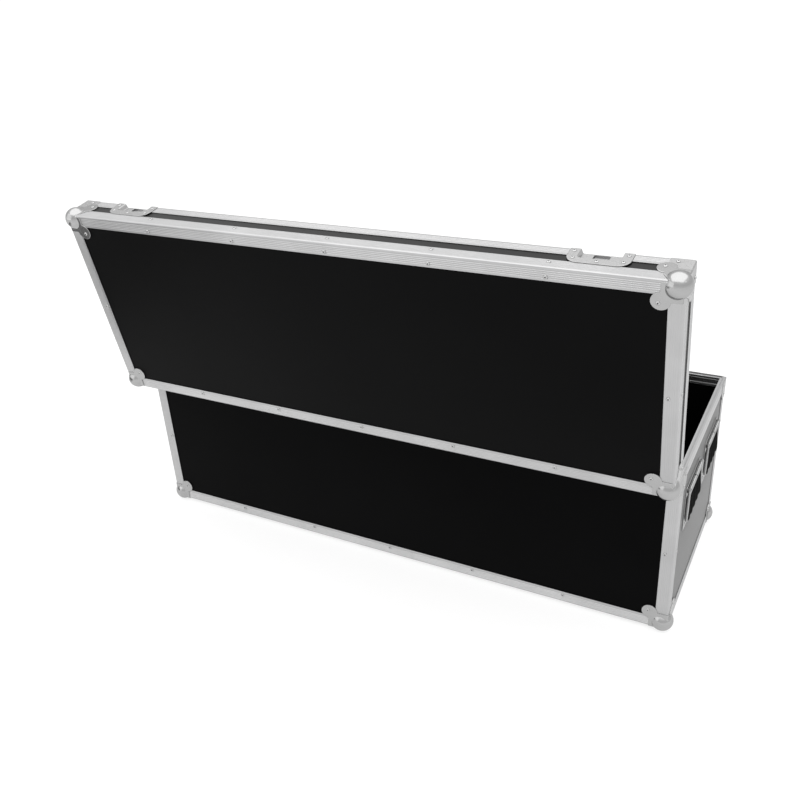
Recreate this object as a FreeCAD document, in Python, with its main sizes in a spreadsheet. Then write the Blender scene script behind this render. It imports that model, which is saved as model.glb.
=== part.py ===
import FreeCAD, Part
import math
import os
import Sketcher
from FreeCAD import Placement, Rotation, Vector

# Long transport case: plywood panels held in aluminium edge angles, a hinged
# lid that closes on a tongue and groove rim, ball corners, two butterfly
# latches on the front and two sprung handles on each end.
# +X runs along the length, -Y is the front, +Y the hinge side, +Z up.
# z = 0 is the floor under the ball feet. The lid is modelled closed and then
# placed at its open stop.

os.makedirs("parts", exist_ok=True)
doc = FreeCAD.newDocument("flight_case")
sheet = doc.addObject("Spreadsheet::Sheet", "Dims")


class Dim:
    """A length with its value and the sheet formula it comes from."""

    def __init__(self, v, t):
        self.v, self.t = float(v), t

    def __float__(self):
        return self.v

    def __add__(self, o):
        return join(self, o, "+")

    def __radd__(self, o):
        return join(o, self, "+")

    def __sub__(self, o):
        return join(self, o, "-")

    def __rsub__(self, o):
        return join(o, self, "-")

    def __mul__(self, o):
        return join(self, o, "*")

    def __rmul__(self, o):
        return join(o, self, "*")

    def __truediv__(self, o):
        return join(self, o, "/")

    def __neg__(self):
        return join(0, self, "-")


def text_of(o):
    return o.t if isinstance(o, Dim) else "%.9g" % o if o >= 0 else "(0 - %.9g)" % -o


def join(a, b, op):
    x, y = float(a), float(b)
    v = x + y if op == "+" else x - y if op == "-" else x * y if op == "*" else x / y
    return Dim(v, "(%s %s %s)" % (text_of(a), op, text_of(b)))


rows = []


def dim(alias, value):
    rows.append(alias)
    n = len(rows)
    sheet.set("A%d" % n, alias)
    sheet.set("B%d" % n, "%.9g" % value)
    sheet.setAlias("B%d" % n, alias)
    return Dim(value, "Dims." + alias)


# overall
case_length = dim("case_length", 1480)
case_depth = dim("case_depth", 515)
base_height = dim("base_height", 430)
lid_height = dim("lid_height", 80)
foot_rise = dim("foot_rise", 10)
open_angle = dim("open_angle", 100.5)
# panels and edge angles
skin = dim("skin", 2)
panel = dim("panel_thickness", 9.5)
flange = dim("flange_width", 30)
cutback = dim("edge_cutback", 32)
nose = dim("edge_chamfer", 1.6)
# rim profiles
rim_height = dim("rim_height", 28.5)
lid_rim_height = dim("lid_rim_height", 25.5)
rim_gap = dim("rim_gap", 0.15)
rim_cap = dim("rim_cap", 6)
lid_cap = dim("lid_rim_cap", 8)
inner_leg = dim("rim_inner_leg", 27)
tongue_width = dim("tongue_width", 2.5)
tongue_height = dim("tongue_height", 4)
groove_width = dim("groove_width", 6)
groove_depth = dim("groove_depth", 5)
# corners
ball_radius = dim("ball_radius", 26.5)
ball_bore = dim("ball_bore", 24.5)
ball_inset = dim("ball_inset", 15.5)
corner_leg = dim("corner_leg", 44)
plate = dim("plate_thickness", 1.5)
lobe_centre = dim("lobe_centre", 43)
lobe_radius = dim("lobe_radius", 18.5)
brace_length = dim("brace_length", 44.5)
brace_drop = dim("brace_drop", 52)
lid_brace = dim("lid_brace_rise", 35.5)
# hinges
hinge_out = dim("hinge_out", 7)
hinge_pitch = dim("hinge_pitch", 520)
hinge_width = dim("hinge_width", 80)
hinge_leaf = dim("hinge_leaf", 42)
knuckle = dim("knuckle_radius", 5)
knuckle_half = dim("knuckle_half", 13)
pin_radius = dim("pin_radius", 2.5)
running = dim("running_clearance", 0.05)
# latches
latch_x = dim("latch_x", 571)
latch_width = dim("latch_width", 122)
latch_round = dim("latch_round", 24)
recess_width = dim("recess_width", 84)
dish_drop = dim("dish_drop", 78)
recess_drop = dim("recess_drop", 66)
keeper_rise = dim("keeper_rise", 52)
recess_rise = dim("recess_rise", 34)
dish_depth = dim("dish_depth", 8.5)
spindle_drop = dim("spindle_drop", 36)
hook_travel = dim("hook_travel", 8.6)
hook_draw = dim("hook_draw", 3.2)
cam_radius = dim("cam_radius", 10)
slot_width = dim("slot_width", 31)
slot_low = dim("slot_low", 2.6)
slot_high = dim("slot_high", 25.5)
# handles
handle_pitch = dim("handle_pitch", 214)
handle_width = dim("handle_width", 148)
handle_top = dim("handle_top", 78)
handle_height = dim("handle_height", 118)
handle_out = dim("handle_out", 5)
handle_pivot = dim("handle_pivot", 10)
arm_half = dim("arm_half", 72)
arm_thick = dim("arm_thickness", 3)
arm_length = dim("arm_length", 81)
arm_splay = dim("arm_splay", -0.5)
rod_radius = dim("rod_radius", 2.8)
bar_radius = dim("bar_radius", 2.5)
grip_height = dim("grip_height", 60)
grip_thick = dim("grip_thickness", 9)
barrel = dim("barrel_radius", 4.6)  # eyes, bosses and coils on the rod
strap_half = dim("strap_half", 3.2)
# rivets
rivet_head = dim("rivet_head", 4)
rivet_rise = dim("rivet_rise", 1.5)
rivet_shank = dim("rivet_shank", 2)
rivet_depth = dim("rivet_depth", 6)
rivet_inset = dim("rivet_inset", 21)
doc.recompute()

half_x = case_length / 2
half_y = case_depth / 2
part_z = foot_rise + base_height  # parting plane of base and lid
top_z = part_z + lid_height
hinge_y = half_y + hinge_out
rim_width = 2 * skin + panel

X, Y, Z = Vector(1, 0, 0), Vector(0, 1, 0), Vector(0, 0, 1)
nodes = {}


def num(*q):
    return Vector(*[float(a) for a in q])


opened = Placement(
    Vector(0, 0, 0), Rotation(X, -float(open_angle)), num(0, hinge_y, part_z)
)
closing = Placement(
    Vector(0, 0, 0), Rotation(X, float(open_angle)), num(0, hinge_y, part_z)
)


def bind(obj, prop, q):
    if isinstance(q, Dim):
        obj.setExpression(prop, q.t)
    else:
        setattr(obj, prop, q)


def put(obj, x, y, z, rotation=None):
    """Places an object at a point whose coordinates come from the sheet."""
    obj.Placement = Placement(num(x, y, z), rotation or Rotation())
    for axis, q in zip("xyz", (x, y, z)):
        if isinstance(q, Dim):
            obj.setExpression("Placement.Base." + axis, q.t)


def axes(ax, ay):
    """Rotation that carries a sketch's X and Y onto two given directions."""
    return Rotation(ax, ay, ax.cross(ay), "XYZ")


def box(name, low, high):
    b = doc.addObject("Part::Box", name)
    for prop, a, c in zip(("Length", "Width", "Height"), low, high):
        bind(b, prop, c - a)
    put(b, *low)
    return b


def cylinder(name, x, y, z, radius, height, rotation=None):
    c = doc.addObject("Part::Cylinder", name)
    bind(c, "Radius", radius)
    bind(c, "Height", height)
    put(c, x, y, z, rotation)
    return c


def sphere(name, x, y, z, radius):
    s = doc.addObject("Part::Sphere", name)
    bind(s, "Radius", radius)
    put(s, x, y, z)
    return s


def fuse(name, shapes):
    f = doc.addObject("Part::MultiFuse", name)
    f.Shapes = shapes
    f.Refine = True
    return f


def cut(name, base, tools):
    c = doc.addObject("Part::Cut", name)
    c.Base = base
    c.Tool = tools[0] if len(tools) == 1 else fuse(name + "_tools", tools)
    c.Refine = True
    return c


def common(name, a, b):
    c = doc.addObject("Part::Common", name)
    c.Base, c.Tool = a, b
    return c


def group(name, members):
    g = doc.addObject("Part::Compound", name)
    g.Links = members
    return g


def profile(name, points, length, origin=None, rotation=None):
    """A body: a closed outline on its XY plane, padded along its Z."""
    body = doc.addObject("PartDesign::Body", name)
    sketch = body.newObject("Sketcher::SketchObject", name + "_outline")
    plane = [o for o in body.Origin.OriginFeatures if o.Role == "XY_Plane"][0]
    sketch.AttachmentSupport = [(plane, "")]
    sketch.MapMode = "FlatFace"
    n = len(points)
    flat = [num(a, b, 0) for a, b in points]
    for i in range(n):
        sketch.addGeometry(Part.LineSegment(flat[i], flat[(i + 1) % n]))
    for i in range(n):
        sketch.addConstraint(Sketcher.Constraint("Coincident", i, 2, (i + 1) % n, 1))
    for i, pair in enumerate(points):
        for kind, q, axis in (("DistanceX", pair[0], -2), ("DistanceY", pair[1], -1)):
            if abs(float(q)) < 1e-9:
                sketch.addConstraint(Sketcher.Constraint("PointOnObject", i, 1, axis))
            else:
                k = sketch.addConstraint(
                    Sketcher.Constraint(kind, -1, 1, i, 1, float(q))
                )
                if isinstance(q, Dim):
                    sketch.setExpression("Constraints[%d]" % k, q.t)
    pad = body.newObject("PartDesign::Pad", name + "_pad")
    pad.Profile = sketch
    bind(pad, "Length", length)
    if origin is not None:
        put(body, *origin, rotation)
    return body


def keep(label, obj, lid=False):
    """Names a finished piece; pieces of the lid go to the open stop."""
    obj.Label = label
    nodes[label] = obj
    if lid:
        for axis in "xyz":
            obj.setExpression("Placement.Base." + axis, None)
        obj.Placement = opened.multiply(obj.Placement)
    return obj


# ---------------------------------------------------------------- panels
inner_x, inner_y = half_x - skin, half_y - skin
floor_z = foot_rise + skin
wall_low = floor_z + panel
wall_high = part_z - rim_cap
span_x, span_y = 2 * inner_x, 2 * inner_y


def sheet_panel(name, low, size):
    """A flat panel: a rectangle padded upwards."""
    w, d, h = size
    return profile(name, [(0, 0), (w, 0), (w, d), (0, d)], h, low)


keep(
    "base_bottom_panel",
    sheet_panel("bottom_board", (-inner_x, -inner_y, floor_z), (span_x, span_y, panel)),
)
rear_board = sheet_panel(
    "rear_board", (-inner_x, inner_y - panel, wall_low), (span_x, panel, wall_high - wall_low)
)
keep("base_rear_panel", rear_board)
front_board = sheet_panel(
    "front_board", (-inner_x, -inner_y, wall_low), (span_x, panel, wall_high - wall_low)
)
notch = recess_width / 2 + 2
sides = ((-1, "left"), (1, "right"))
keep(
    "base_front_panel",
    cut(
        "front_board_cut",
        front_board,
        [
            box(
                "front_board_hole_" + n,
                (s * latch_x - notch, -half_y - 5, part_z - recess_drop - 2),
                (s * latch_x + notch, -half_y + 20, part_z + 5),
            )
            for s, n in sides
        ],
    ),
)
end_y = inner_y - panel
for s, n in sides:
    keep(
        "base_%s_panel" % n,
        sheet_panel(
            n + "_board",
            (inner_x - panel if s > 0 else -inner_x, -end_y, wall_low),
            (panel, 2 * end_y, wall_high - wall_low),
        ),
    )

lid_low, lid_roof = part_z + lid_cap, top_z - skin - panel
keep(
    "lid_top_panel",
    sheet_panel("roof_board", (-inner_x, -inner_y, lid_roof), (span_x, span_y, panel)),
    True,
)
keep(
    "lid_rear_panel",
    sheet_panel(
        "lid_rear_board", (-inner_x, inner_y - panel, lid_low), (span_x, panel, lid_roof - lid_low)
    ),
    True,
)
lid_front = sheet_panel(
    "lid_front_board", (-inner_x, -inner_y, lid_low), (span_x, panel, lid_roof - lid_low)
)
keep(
    "lid_front_panel",
    cut(
        "lid_front_cut",
        lid_front,
        [
            box(
                "lid_front_hole_" + n,
                (s * latch_x - notch, -half_y - 5, part_z - 5),
                (s * latch_x + notch, -half_y + 20, part_z + recess_rise + 2),
            )
            for s, n in sides
        ],
    ),
    True,
)
for s, n in sides:
    keep(
        "lid_%s_panel" % n,
        sheet_panel(
            "lid_%s_board" % n,
            (inner_x - panel if s > 0 else -inner_x, -end_y, lid_low),
            (panel, 2 * end_y, lid_roof - lid_low),
        ),
        True,
    )

# ------------------------------------------------------------ edge angles
angle = [
    (nose, 0),
    (flange, 0),
    (flange, skin),
    (skin, skin),
    (skin, flange),
    (0, flange),
    (0, nose),
]
run_x, run_y = case_length - 2 * cutback, case_depth - 2 * cutback
end_x, end_yy = half_x - cutback, half_y - cutback
# label, length, origin, sketch X and Y directions, on the lid
edges = [
    ("base_bottom_edge_front", run_x, (-end_x, -half_y, foot_rise), (Y, Z), False),
    ("base_bottom_edge_rear", run_x, (end_x, half_y, foot_rise), (-Y, Z), False),
    ("base_bottom_edge_left", run_y, (-half_x, end_yy, foot_rise), (X, Z), False),
    ("base_bottom_edge_right", run_y, (half_x, -end_yy, foot_rise), (-X, Z), False),
    ("lid_top_edge_front", run_x, (end_x, -half_y, top_z), (Y, -Z), True),
    ("lid_top_edge_rear", run_x, (-end_x, half_y, top_z), (-Y, -Z), True),
    ("lid_top_edge_left", run_y, (-half_x, -end_yy, top_z), (X, -Z), True),
    ("lid_top_edge_right", run_y, (half_x, end_yy, top_z), (-X, -Z), True),
]
for label, run, origin, (ax, ay), on_lid in edges:
    keep(label, profile(label + "_angle", angle, run, origin, axes(ax, ay)), on_lid)

corner_axes = [
    ("front_left", -1, -1, X, Y),
    ("front_right", 1, -1, Y, -X),
    ("rear_right", 1, 1, -X, -Y),
    ("rear_left", -1, 1, -Y, X),
]
posts, lid_posts = [], []
for n, sx, sy, ax, ay in corner_axes:
    low = foot_rise + cutback
    posts.append(
        profile(
            "post_" + n,
            angle,
            part_z - rim_height - low,
            (sx * half_x, sy * half_y, low),
            axes(ax, ay),
        )
    )
    lid_posts.append(
        profile(
            "lid_post_" + n,
            angle,
            lid_height - cutback - lid_rim_height,
            (sx * half_x, sy * half_y, part_z + lid_rim_height),
            axes(ax, ay),
        )
    )
keep("base_corner_posts", group("posts", posts))
keep("lid_corner_posts", group("lid_posts", lid_posts), True)

# ------------------------------------------------------------ rim profiles
mid = rim_width / 2
top = rim_height - rim_gap
base_rim = [
    (0, 0),
    (skin, 0),
    (skin, rim_height - rim_cap),
    (skin + panel, rim_height - rim_cap),
    (skin + panel, rim_height - inner_leg),
    (rim_width, rim_height - inner_leg),
    (rim_width, top),
    (mid + tongue_width / 2, top),
    (mid + tongue_width / 2 - 0.5, top + tongue_height),
    (mid - tongue_width / 2 + 0.5, top + tongue_height),
    (mid - tongue_width / 2, top),
    (nose, top),
    (0, top - nose),
]
lid_rim = [
    (nose, rim_gap),
    (mid - groove_width / 2, rim_gap),
    (mid - groove_width / 2, rim_gap + groove_depth),
    (mid + groove_width / 2, rim_gap + groove_depth),
    (mid + groove_width / 2, rim_gap),
    (rim_width, rim_gap),
    (rim_width, inner_leg),
    (skin + panel, inner_leg),
    (skin + panel, lid_cap),
    (skin, lid_cap),
    (skin, lid_rim_height),
    (0, lid_rim_height),
    (0, rim_gap + nose),
]
rim_runs = [
    ("front", case_length, (-half_x, -half_y), Y),
    ("rear", case_length, (half_x, half_y), -Y),
    ("left", case_depth, (-half_x, half_y), X),
    ("right", case_depth, (half_x, -half_y), -X),
]


def mitres(name, side):
    """Two blocks that cut a rim's ends at 45 degrees through the corners."""
    turn, ends = {
        "front": (0, ((-1, -1), (1, -1))),
        "right": (90, ((1, -1), (1, 1))),
        "rear": (180, ((1, 1), (-1, 1))),
        "left": (270, ((-1, 1), (-1, -1))),
    }[side]
    blocks = []
    for i, (sx, sy) in enumerate(ends):
        b = doc.addObject("Part::Box", "%s_mitre_%d" % (name, i))
        b.Length, b.Width, b.Height = 60, 60, 80
        # a face of the block lies on the corner's diagonal, the rest beyond it
        r = Rotation(Z, turn + (45 if i == 0 else -45))
        back = r.multVec(Vector(-20 if i == 0 else -40, 0, 0))
        put(b, sx * half_x + back.x, sy * half_y + back.y, part_z - 40, r)
        blocks.append(b)
    return blocks


for side, run, (ox, oy), ax in rim_runs:
    notches, lid_notches = [], []
    if side == "front":
        for s, n in sides:
            back = -half_y + dish_depth + plate + 0.1
            notches.append(
                box(
                    "rim_notch_" + n,
                    (s * latch_x - notch, -half_y - 5, part_z - 40),
                    (s * latch_x + notch, back, part_z + 10),
                )
            )
            lid_notches.append(
                box(
                    "lid_rim_notch_" + n,
                    (s * latch_x - notch, -half_y - 5, part_z - 10),
                    (s * latch_x + notch, back, part_z + 40),
                )
            )
            # pocket behind the keeper's slot for the hook's nose
            lid_notches.append(
                box(
                    "lid_rim_pocket_" + n,
                    (s * latch_x - slot_width / 2, -half_y - 5, part_z + slot_low - 0.5),
                    (s * latch_x + slot_width / 2, back + 2.4, part_z + slot_high + 0.5),
                )
            )
    low = profile(
        "rim_%s_bar" % side, base_rim, run, (ox, oy, part_z - rim_height), axes(ax, Z)
    )
    keep("base_rim_" + side, cut("rim_" + side, low, mitres("rim_" + side, side) + notches))
    high = profile("lid_rim_%s_bar" % side, lid_rim, run, (ox, oy, part_z), axes(ax, Z))
    keep(
        "lid_rim_" + side,
        cut("lid_rim_" + side, high, mitres("lid_rim_" + side, side) + lid_notches),
        True,
    )

# ------------------------------------------------------------ ball corners
far = corner_leg + 30


def ball_corner(name, foot):
    """One corner in its own octant: the case fills x, y, z > 0."""
    legs = [
        box(name + "_leg_x", (-plate, -plate, -plate), (corner_leg, flange, flange)),
        box(name + "_leg_y", (-plate, -plate, -plate), (flange, corner_leg, flange)),
        box(name + "_leg_z", (-plate, -plate, -plate), (flange, flange, corner_leg)),
    ]
    lobe = lobe_centre
    pads = [
        cylinder(name + "_pad_z", lobe, lobe, -plate, lobe_radius, plate),
        cylinder(name + "_pad_y", lobe, 0, lobe, lobe_radius, plate, Rotation(X, 90)),
        cylinder(
            name + "_pad_x", -plate, lobe, lobe, lobe_radius, plate, Rotation(Y, 90)
        ),
    ]
    ball = sphere(name + "_ball", ball_inset, ball_inset, ball_inset, ball_radius)
    bore = sphere(name + "_bore", ball_inset, ball_inset, ball_inset, ball_bore)
    inside = box(name + "_inside", (0, 0, 0), (far, far, far))
    tools = [inside, bore]
    if foot:
        tools.append(box(name + "_floor", (-50, -50, -60), (50, 50, -foot_rise)))
    hull = cut(name + "_hull", fuse(name + "_whole", legs + pads + [ball]), tools)
    # the lobes step down from the flanges to the panels
    steps = [
        common(
            name + "_step_z",
            cylinder(name + "_low_z", lobe, lobe, 0, lobe_radius, skin),
            box(name + "_zone_z", (flange, flange, -1), (far, far, 9)),
        )
    ]
    if foot:
        steps.append(
            common(
                name + "_step_y",
                cylinder(
                    name + "_low_y", lobe, skin, lobe, lobe_radius, skin, Rotation(X, 90)
                ),
                box(name + "_zone_y", (flange, -1, flange), (far, 9, far)),
            )
        )
        steps.append(
            common(
                name + "_step_x",
                cylinder(
                    name + "_low_x", 0, lobe, lobe, lobe_radius, skin, Rotation(Y, 90)
                ),
                box(name + "_zone_x", (-1, flange, flange), (9, far, far)),
            )
        )
    return fuse(name, [hull] + steps)


base_corner = ball_corner("base_corner", True)
lid_corner = ball_corner("lid_corner", False)
doc.recompute()


def eightfold(shape, sx, sy, sz, at):
    """The corner mirrored into an octant and moved to its place."""
    s = shape.copy()
    for sign, normal in ((sx, X), (sy, Y), (sz, Z)):
        if sign > 0:
            s = s.mirror(Vector(0, 0, 0), normal)
    s.translate(at)
    return s


def shape_node(label, solids, lid=False):
    f = doc.addObject("Part::Feature", label + "_set")
    f.Shape = Part.makeCompound(solids)
    return keep(label, f, lid)


quarters = [(sx, sy) for sx in (-1, 1) for sy in (-1, 1)]
shape_node(
    "base_ball_corners",
    [
        eightfold(base_corner.Shape, sx, sy, -1, num(sx * half_x, sy * half_y, foot_rise))
        for sx, sy in quarters
    ],
)
shape_node(
    "lid_ball_corners",
    [
        eightfold(lid_corner.Shape, sx, sy, 1, num(sx * half_x, sy * half_y, top_z))
        for sx, sy in quarters
    ],
    True,
)

# ------------------------------------------------------------ rim corner braces
# an angled plate over the rim and the post, with its outer corners sloped off


def brace(name, rise, slope, clear):
    """One brace in the corner x, y > 0, reaching up from z = 0."""
    face = [
        (0, 0),
        (brace_length + plate, 0),
        (brace_length + plate, rise - slope),
        (brace_length + plate - slope, rise),
        (0, rise),
    ]
    a = profile(name + "_x", face, plate, (-plate, 0, 0), Rotation(X, 90))
    b = profile(name + "_y", face, plate, (-plate, -plate, 0), axes(Y, Z))
    whole = fuse(name + "_whole", [a, b])
    if not clear:
        return whole
    up = lid_height - lobe_centre - 0.5  # the brace starts 0.5 above the parting plane
    return cut(
        name,
        whole,
        [
            cylinder(
                name + "_room_x", lobe_centre, 5, up, lobe_radius + 0.3, 10, Rotation(X, 90)
            ),
            cylinder(
                name + "_room_y", -5, lobe_centre, up, lobe_radius + 0.3, 10, Rotation(Y, 90)
            ),
        ],
    )


low_brace = brace("low_brace", brace_drop, 14, False)
high_brace = brace("high_brace", lid_brace, 8, True)
doc.recompute()
shape_node(
    "base_corner_braces",
    [
        eightfold(low_brace.Shape, sx, sy, 1, num(sx * half_x, sy * half_y, part_z - 0.5))
        for sx, sy in quarters
    ],
)
shape_node(
    "lid_corner_braces",
    [
        eightfold(high_brace.Shape, sx, sy, -1, num(sx * half_x, sy * half_y, part_z + 0.5))
        for sx, sy in quarters
    ],
    True,
)

# ------------------------------------------------------------ stop hinges
along = Rotation(Y, 90)
hinge_x = [-hinge_pitch, 0 * hinge_pitch, hinge_pitch]
base_leaves, lid_leaves, pins = [], [], []
for i, hx in enumerate(hinge_x):
    n = "hinge%d" % i
    w = hinge_width / 2
    leaf = fuse(
        n + "_low",
        [
            box(n + "_leaf", (hx - w, half_y, part_z - hinge_leaf - 2), (hx + w, half_y + skin, part_z - 2)),
            box(n + "_web", (hx - knuckle_half, half_y, part_z - 5), (hx + knuckle_half, hinge_y, part_z - 2)),
            cylinder(n + "_roll", hx - knuckle_half, hinge_y, part_z, knuckle, 2 * knuckle_half, along),
        ],
    )
    bore = cylinder(n + "_bore", hx - w - 1, hinge_y, part_z, pin_radius + running, hinge_width + 2, along)
    base_leaves.append(cut(n + "_base_leaf", leaf, [bore]))
    parts = [
        box(n + "_upleaf", (hx - w, half_y, part_z + 2), (hx + w, half_y + skin, part_z + hinge_leaf + 2))
    ]
    for s, q in sides:
        lo = hx - w if s < 0 else hx + knuckle_half + 0.4
        hi = hx - knuckle_half - 0.4 if s < 0 else hx + w
        parts.append(box(n + "_upweb_" + q, (lo, half_y, part_z + 2), (hi, hinge_y, part_z + 5)))
        parts.append(cylinder(n + "_uproll_" + q, lo, hinge_y, part_z, knuckle, hi - lo, along))
        # stop lug: flat against the base leaf when the lid is open
        lug = box(n + "_lug_" + q, (lo, half_y + skin + 0.3, part_z - 16), (hi, hinge_y - 1, part_z - 1))
        for axis in "xyz":
            lug.setExpression("Placement.Base." + axis, None)
        lug.Placement = closing.multiply(lug.Placement)
        parts.append(lug)
    upbore = cylinder(n + "_upbore", hx - w - 1, hinge_y, part_z, pin_radius + running, hinge_width + 2, along)
    lid_leaves.append(cut(n + "_lid_leaf", fuse(n + "_up", parts), [upbore]))
    pins.append(
        cylinder(n + "_pin", hx - w - 1, hinge_y, part_z, pin_radius, hinge_width + 2, along)
    )
keep("hinge_base_leaves", group("hinge_low_set", base_leaves))
keep("hinge_lid_leaves", group("hinge_up_set", lid_leaves), True)
keep("hinge_pins", group("hinge_pin_set", pins))

# ------------------------------------------------------------ butterfly latches
floor_y = -half_y + dish_depth
hook_gap = 1
bend = [(1 - math.cos(math.radians(t)), 1 - math.sin(math.radians(t))) for t in (0, 30, 60, 90)]


def rounded_plate(name, cx, z0, height, up):
    """Outline with square corners at the parting plane and two round ones."""
    w, r = latch_width, latch_round
    pts = [(0, 0), (w, 0)]
    for a, b in bend:
        pts.append((w - r * a, height - r * b))
    for a, b in reversed(bend):
        pts.append((r * a, height - r * b))
    if up:
        return profile(name, pts, plate, (cx - w / 2, -half_y, z0), axes(X, Z))
    return profile(name, pts, plate, (cx + w / 2, -half_y, z0), axes(-X, -Z))


for s, n in sides:
    cx = s * latch_x
    p = "latch_" + n
    zs = part_z - spindle_drop
    r2 = recess_width / 2
    # lower dish
    face = rounded_plate(p + "_face", cx, part_z - 0.5, dish_drop - 0.5, False)
    tub = box(
        p + "_tub",
        (cx - r2 - plate, -half_y - plate / 2, part_z - recess_drop - plate),
        (cx + r2 + plate, floor_y + plate, part_z - 0.5),
    )
    well = box(
        p + "_well",
        (cx - r2, -half_y - 9, part_z - recess_drop),
        (cx + r2, floor_y, part_z + 5),
    )
    spin = Rotation(X, -90)  # cylinders start at the outside and run inwards, +Y
    hole = cylinder(p + "_hole", cx, floor_y - 5, zs, 4 + running, 12, spin)
    keep("%s_dish" % p, cut(p + "_dish_cut", fuse(p + "_dish_raw", [face, tub]), [well, hole]))
    # keeper dish on the lid
    kface = rounded_plate(p + "_keeper_face", cx, part_z + 0.5, keeper_rise - 0.5, True)
    ktub = box(
        p + "_keeper_tub",
        (cx - r2 - plate, -half_y - plate / 2, part_z + 0.5),
        (cx + r2 + plate, floor_y + plate, part_z + recess_rise + plate),
    )
    kwell = box(
        p + "_keeper_well",
        (cx - r2, -half_y - 9, part_z - 5),
        (cx + r2, floor_y, part_z + recess_rise),
    )
    kslot = box(
        p + "_keeper_slot",
        (cx - slot_width / 2, floor_y - 2, part_z + slot_low),
        (cx + slot_width / 2, floor_y + 5, part_z + slot_high),
    )
    keep(
        "%s_keeper" % p,
        cut(p + "_keeper_cut", fuse(p + "_keeper_raw", [kface, ktub]), [kwell, kslot]),
        True,
    )
    # turn spindle: shaft, washer behind the dish, eccentric, head and two ears
    head_y = floor_y - 6
    pivot_y = head_y - 1.4 - 2.5
    ears = []
    for e in (-1, 1):
        x0 = cx + e * 9.8 - 1.5
        ears.append(
            box(p + "_ear_%d" % (e + 1), (x0, pivot_y, zs - 2.6), (x0 + 3, head_y - 1, zs + 2.6))
        )
        ears.append(
            cylinder(p + "_eye_%d" % (e + 1), x0, pivot_y, zs, 2.6, 3, Rotation(Y, 90))
        )
    solid = fuse(
        p + "_spindle_raw",
        [
            cylinder(p + "_shaft", cx, floor_y - 1, zs, 4, plate + 1.5, spin),
            cylinder(p + "_washer", cx, floor_y + plate + 0.2, zs, 7, 1, spin),
            cylinder(p + "_cam", cx, head_y, zs + hook_travel / 2, cam_radius, 5.7, spin),
            cylinder(p + "_head", cx, head_y - 1.4, zs, 14, 1.4, spin),
        ]
        + ears,
    )
    eyes = cylinder(p + "_eyes", cx - 15, pivot_y, zs, 1.3, 30, Rotation(Y, 90))
    keep("%s_spindle" % p, cut(p + "_spindle_cut", solid, [eyes]))
    # folding wing with its trunnions
    half_wing = [(0, 0), (7.5, 0), (7.5, 4.6), (12, 6), (24, 8), (26.5, 11.5), (25, 15.5), (20.5, 19.5), (14, 18), (6, 15.5), (0, 15)]
    right = [(27 + a, b) for a, b in half_wing]
    left = [(27 - a, b) for a, b in reversed(half_wing[1:-1])]
    blade = profile(
        p + "_blade",
        right + left,
        2,
        (cx + 27, pivot_y + 1, zs),
        axes(-X, -Z),
    )
    wing = fuse(
        p + "_wing_raw",
        [
            blade,
            cylinder(p + "_barrel", cx - 8, pivot_y, zs, 2.2, 16, Rotation(Y, 90)),
            cylinder(p + "_trunnion", cx - 11.3, pivot_y, zs, 1.25, 22.6, Rotation(Y, 90)),
        ],
    )
    keep("%s_wing" % p, wing)
    # hook plate, released: raised by its travel and drawn out of the keeper
    hy = floor_y - hook_gap - plate - hook_draw
    hz = zs + hook_travel / 2
    tip = part_z + slot_low + 0.1 + hook_travel
    hook = fuse(
        p + "_hook_raw",
        [
            box(p + "_hook_ring", (cx - 20, hy, hz - 16), (cx + 20, hy + plate, hz + 16)),
            box(p + "_hook_neck", (cx - 14.5, hy, hz), (cx + 14.5, hy + plate, tip + 4)),
            box(
                p + "_hook_nose",
                (cx - 14.5, hy, tip),
                (cx + 14.5, floor_y - 0.5, tip + 4),
            ),
        ],
    )
    window = [
        box(p + "_window", (cx - 14.9, hy - 3, hz - cam_radius - 1.1), (cx + 14.9, hy + 3, hz + cam_radius + 1.1))
    ]
    keep("%s_hook" % p, cut(p + "_hook_cut", hook, window))

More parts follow.
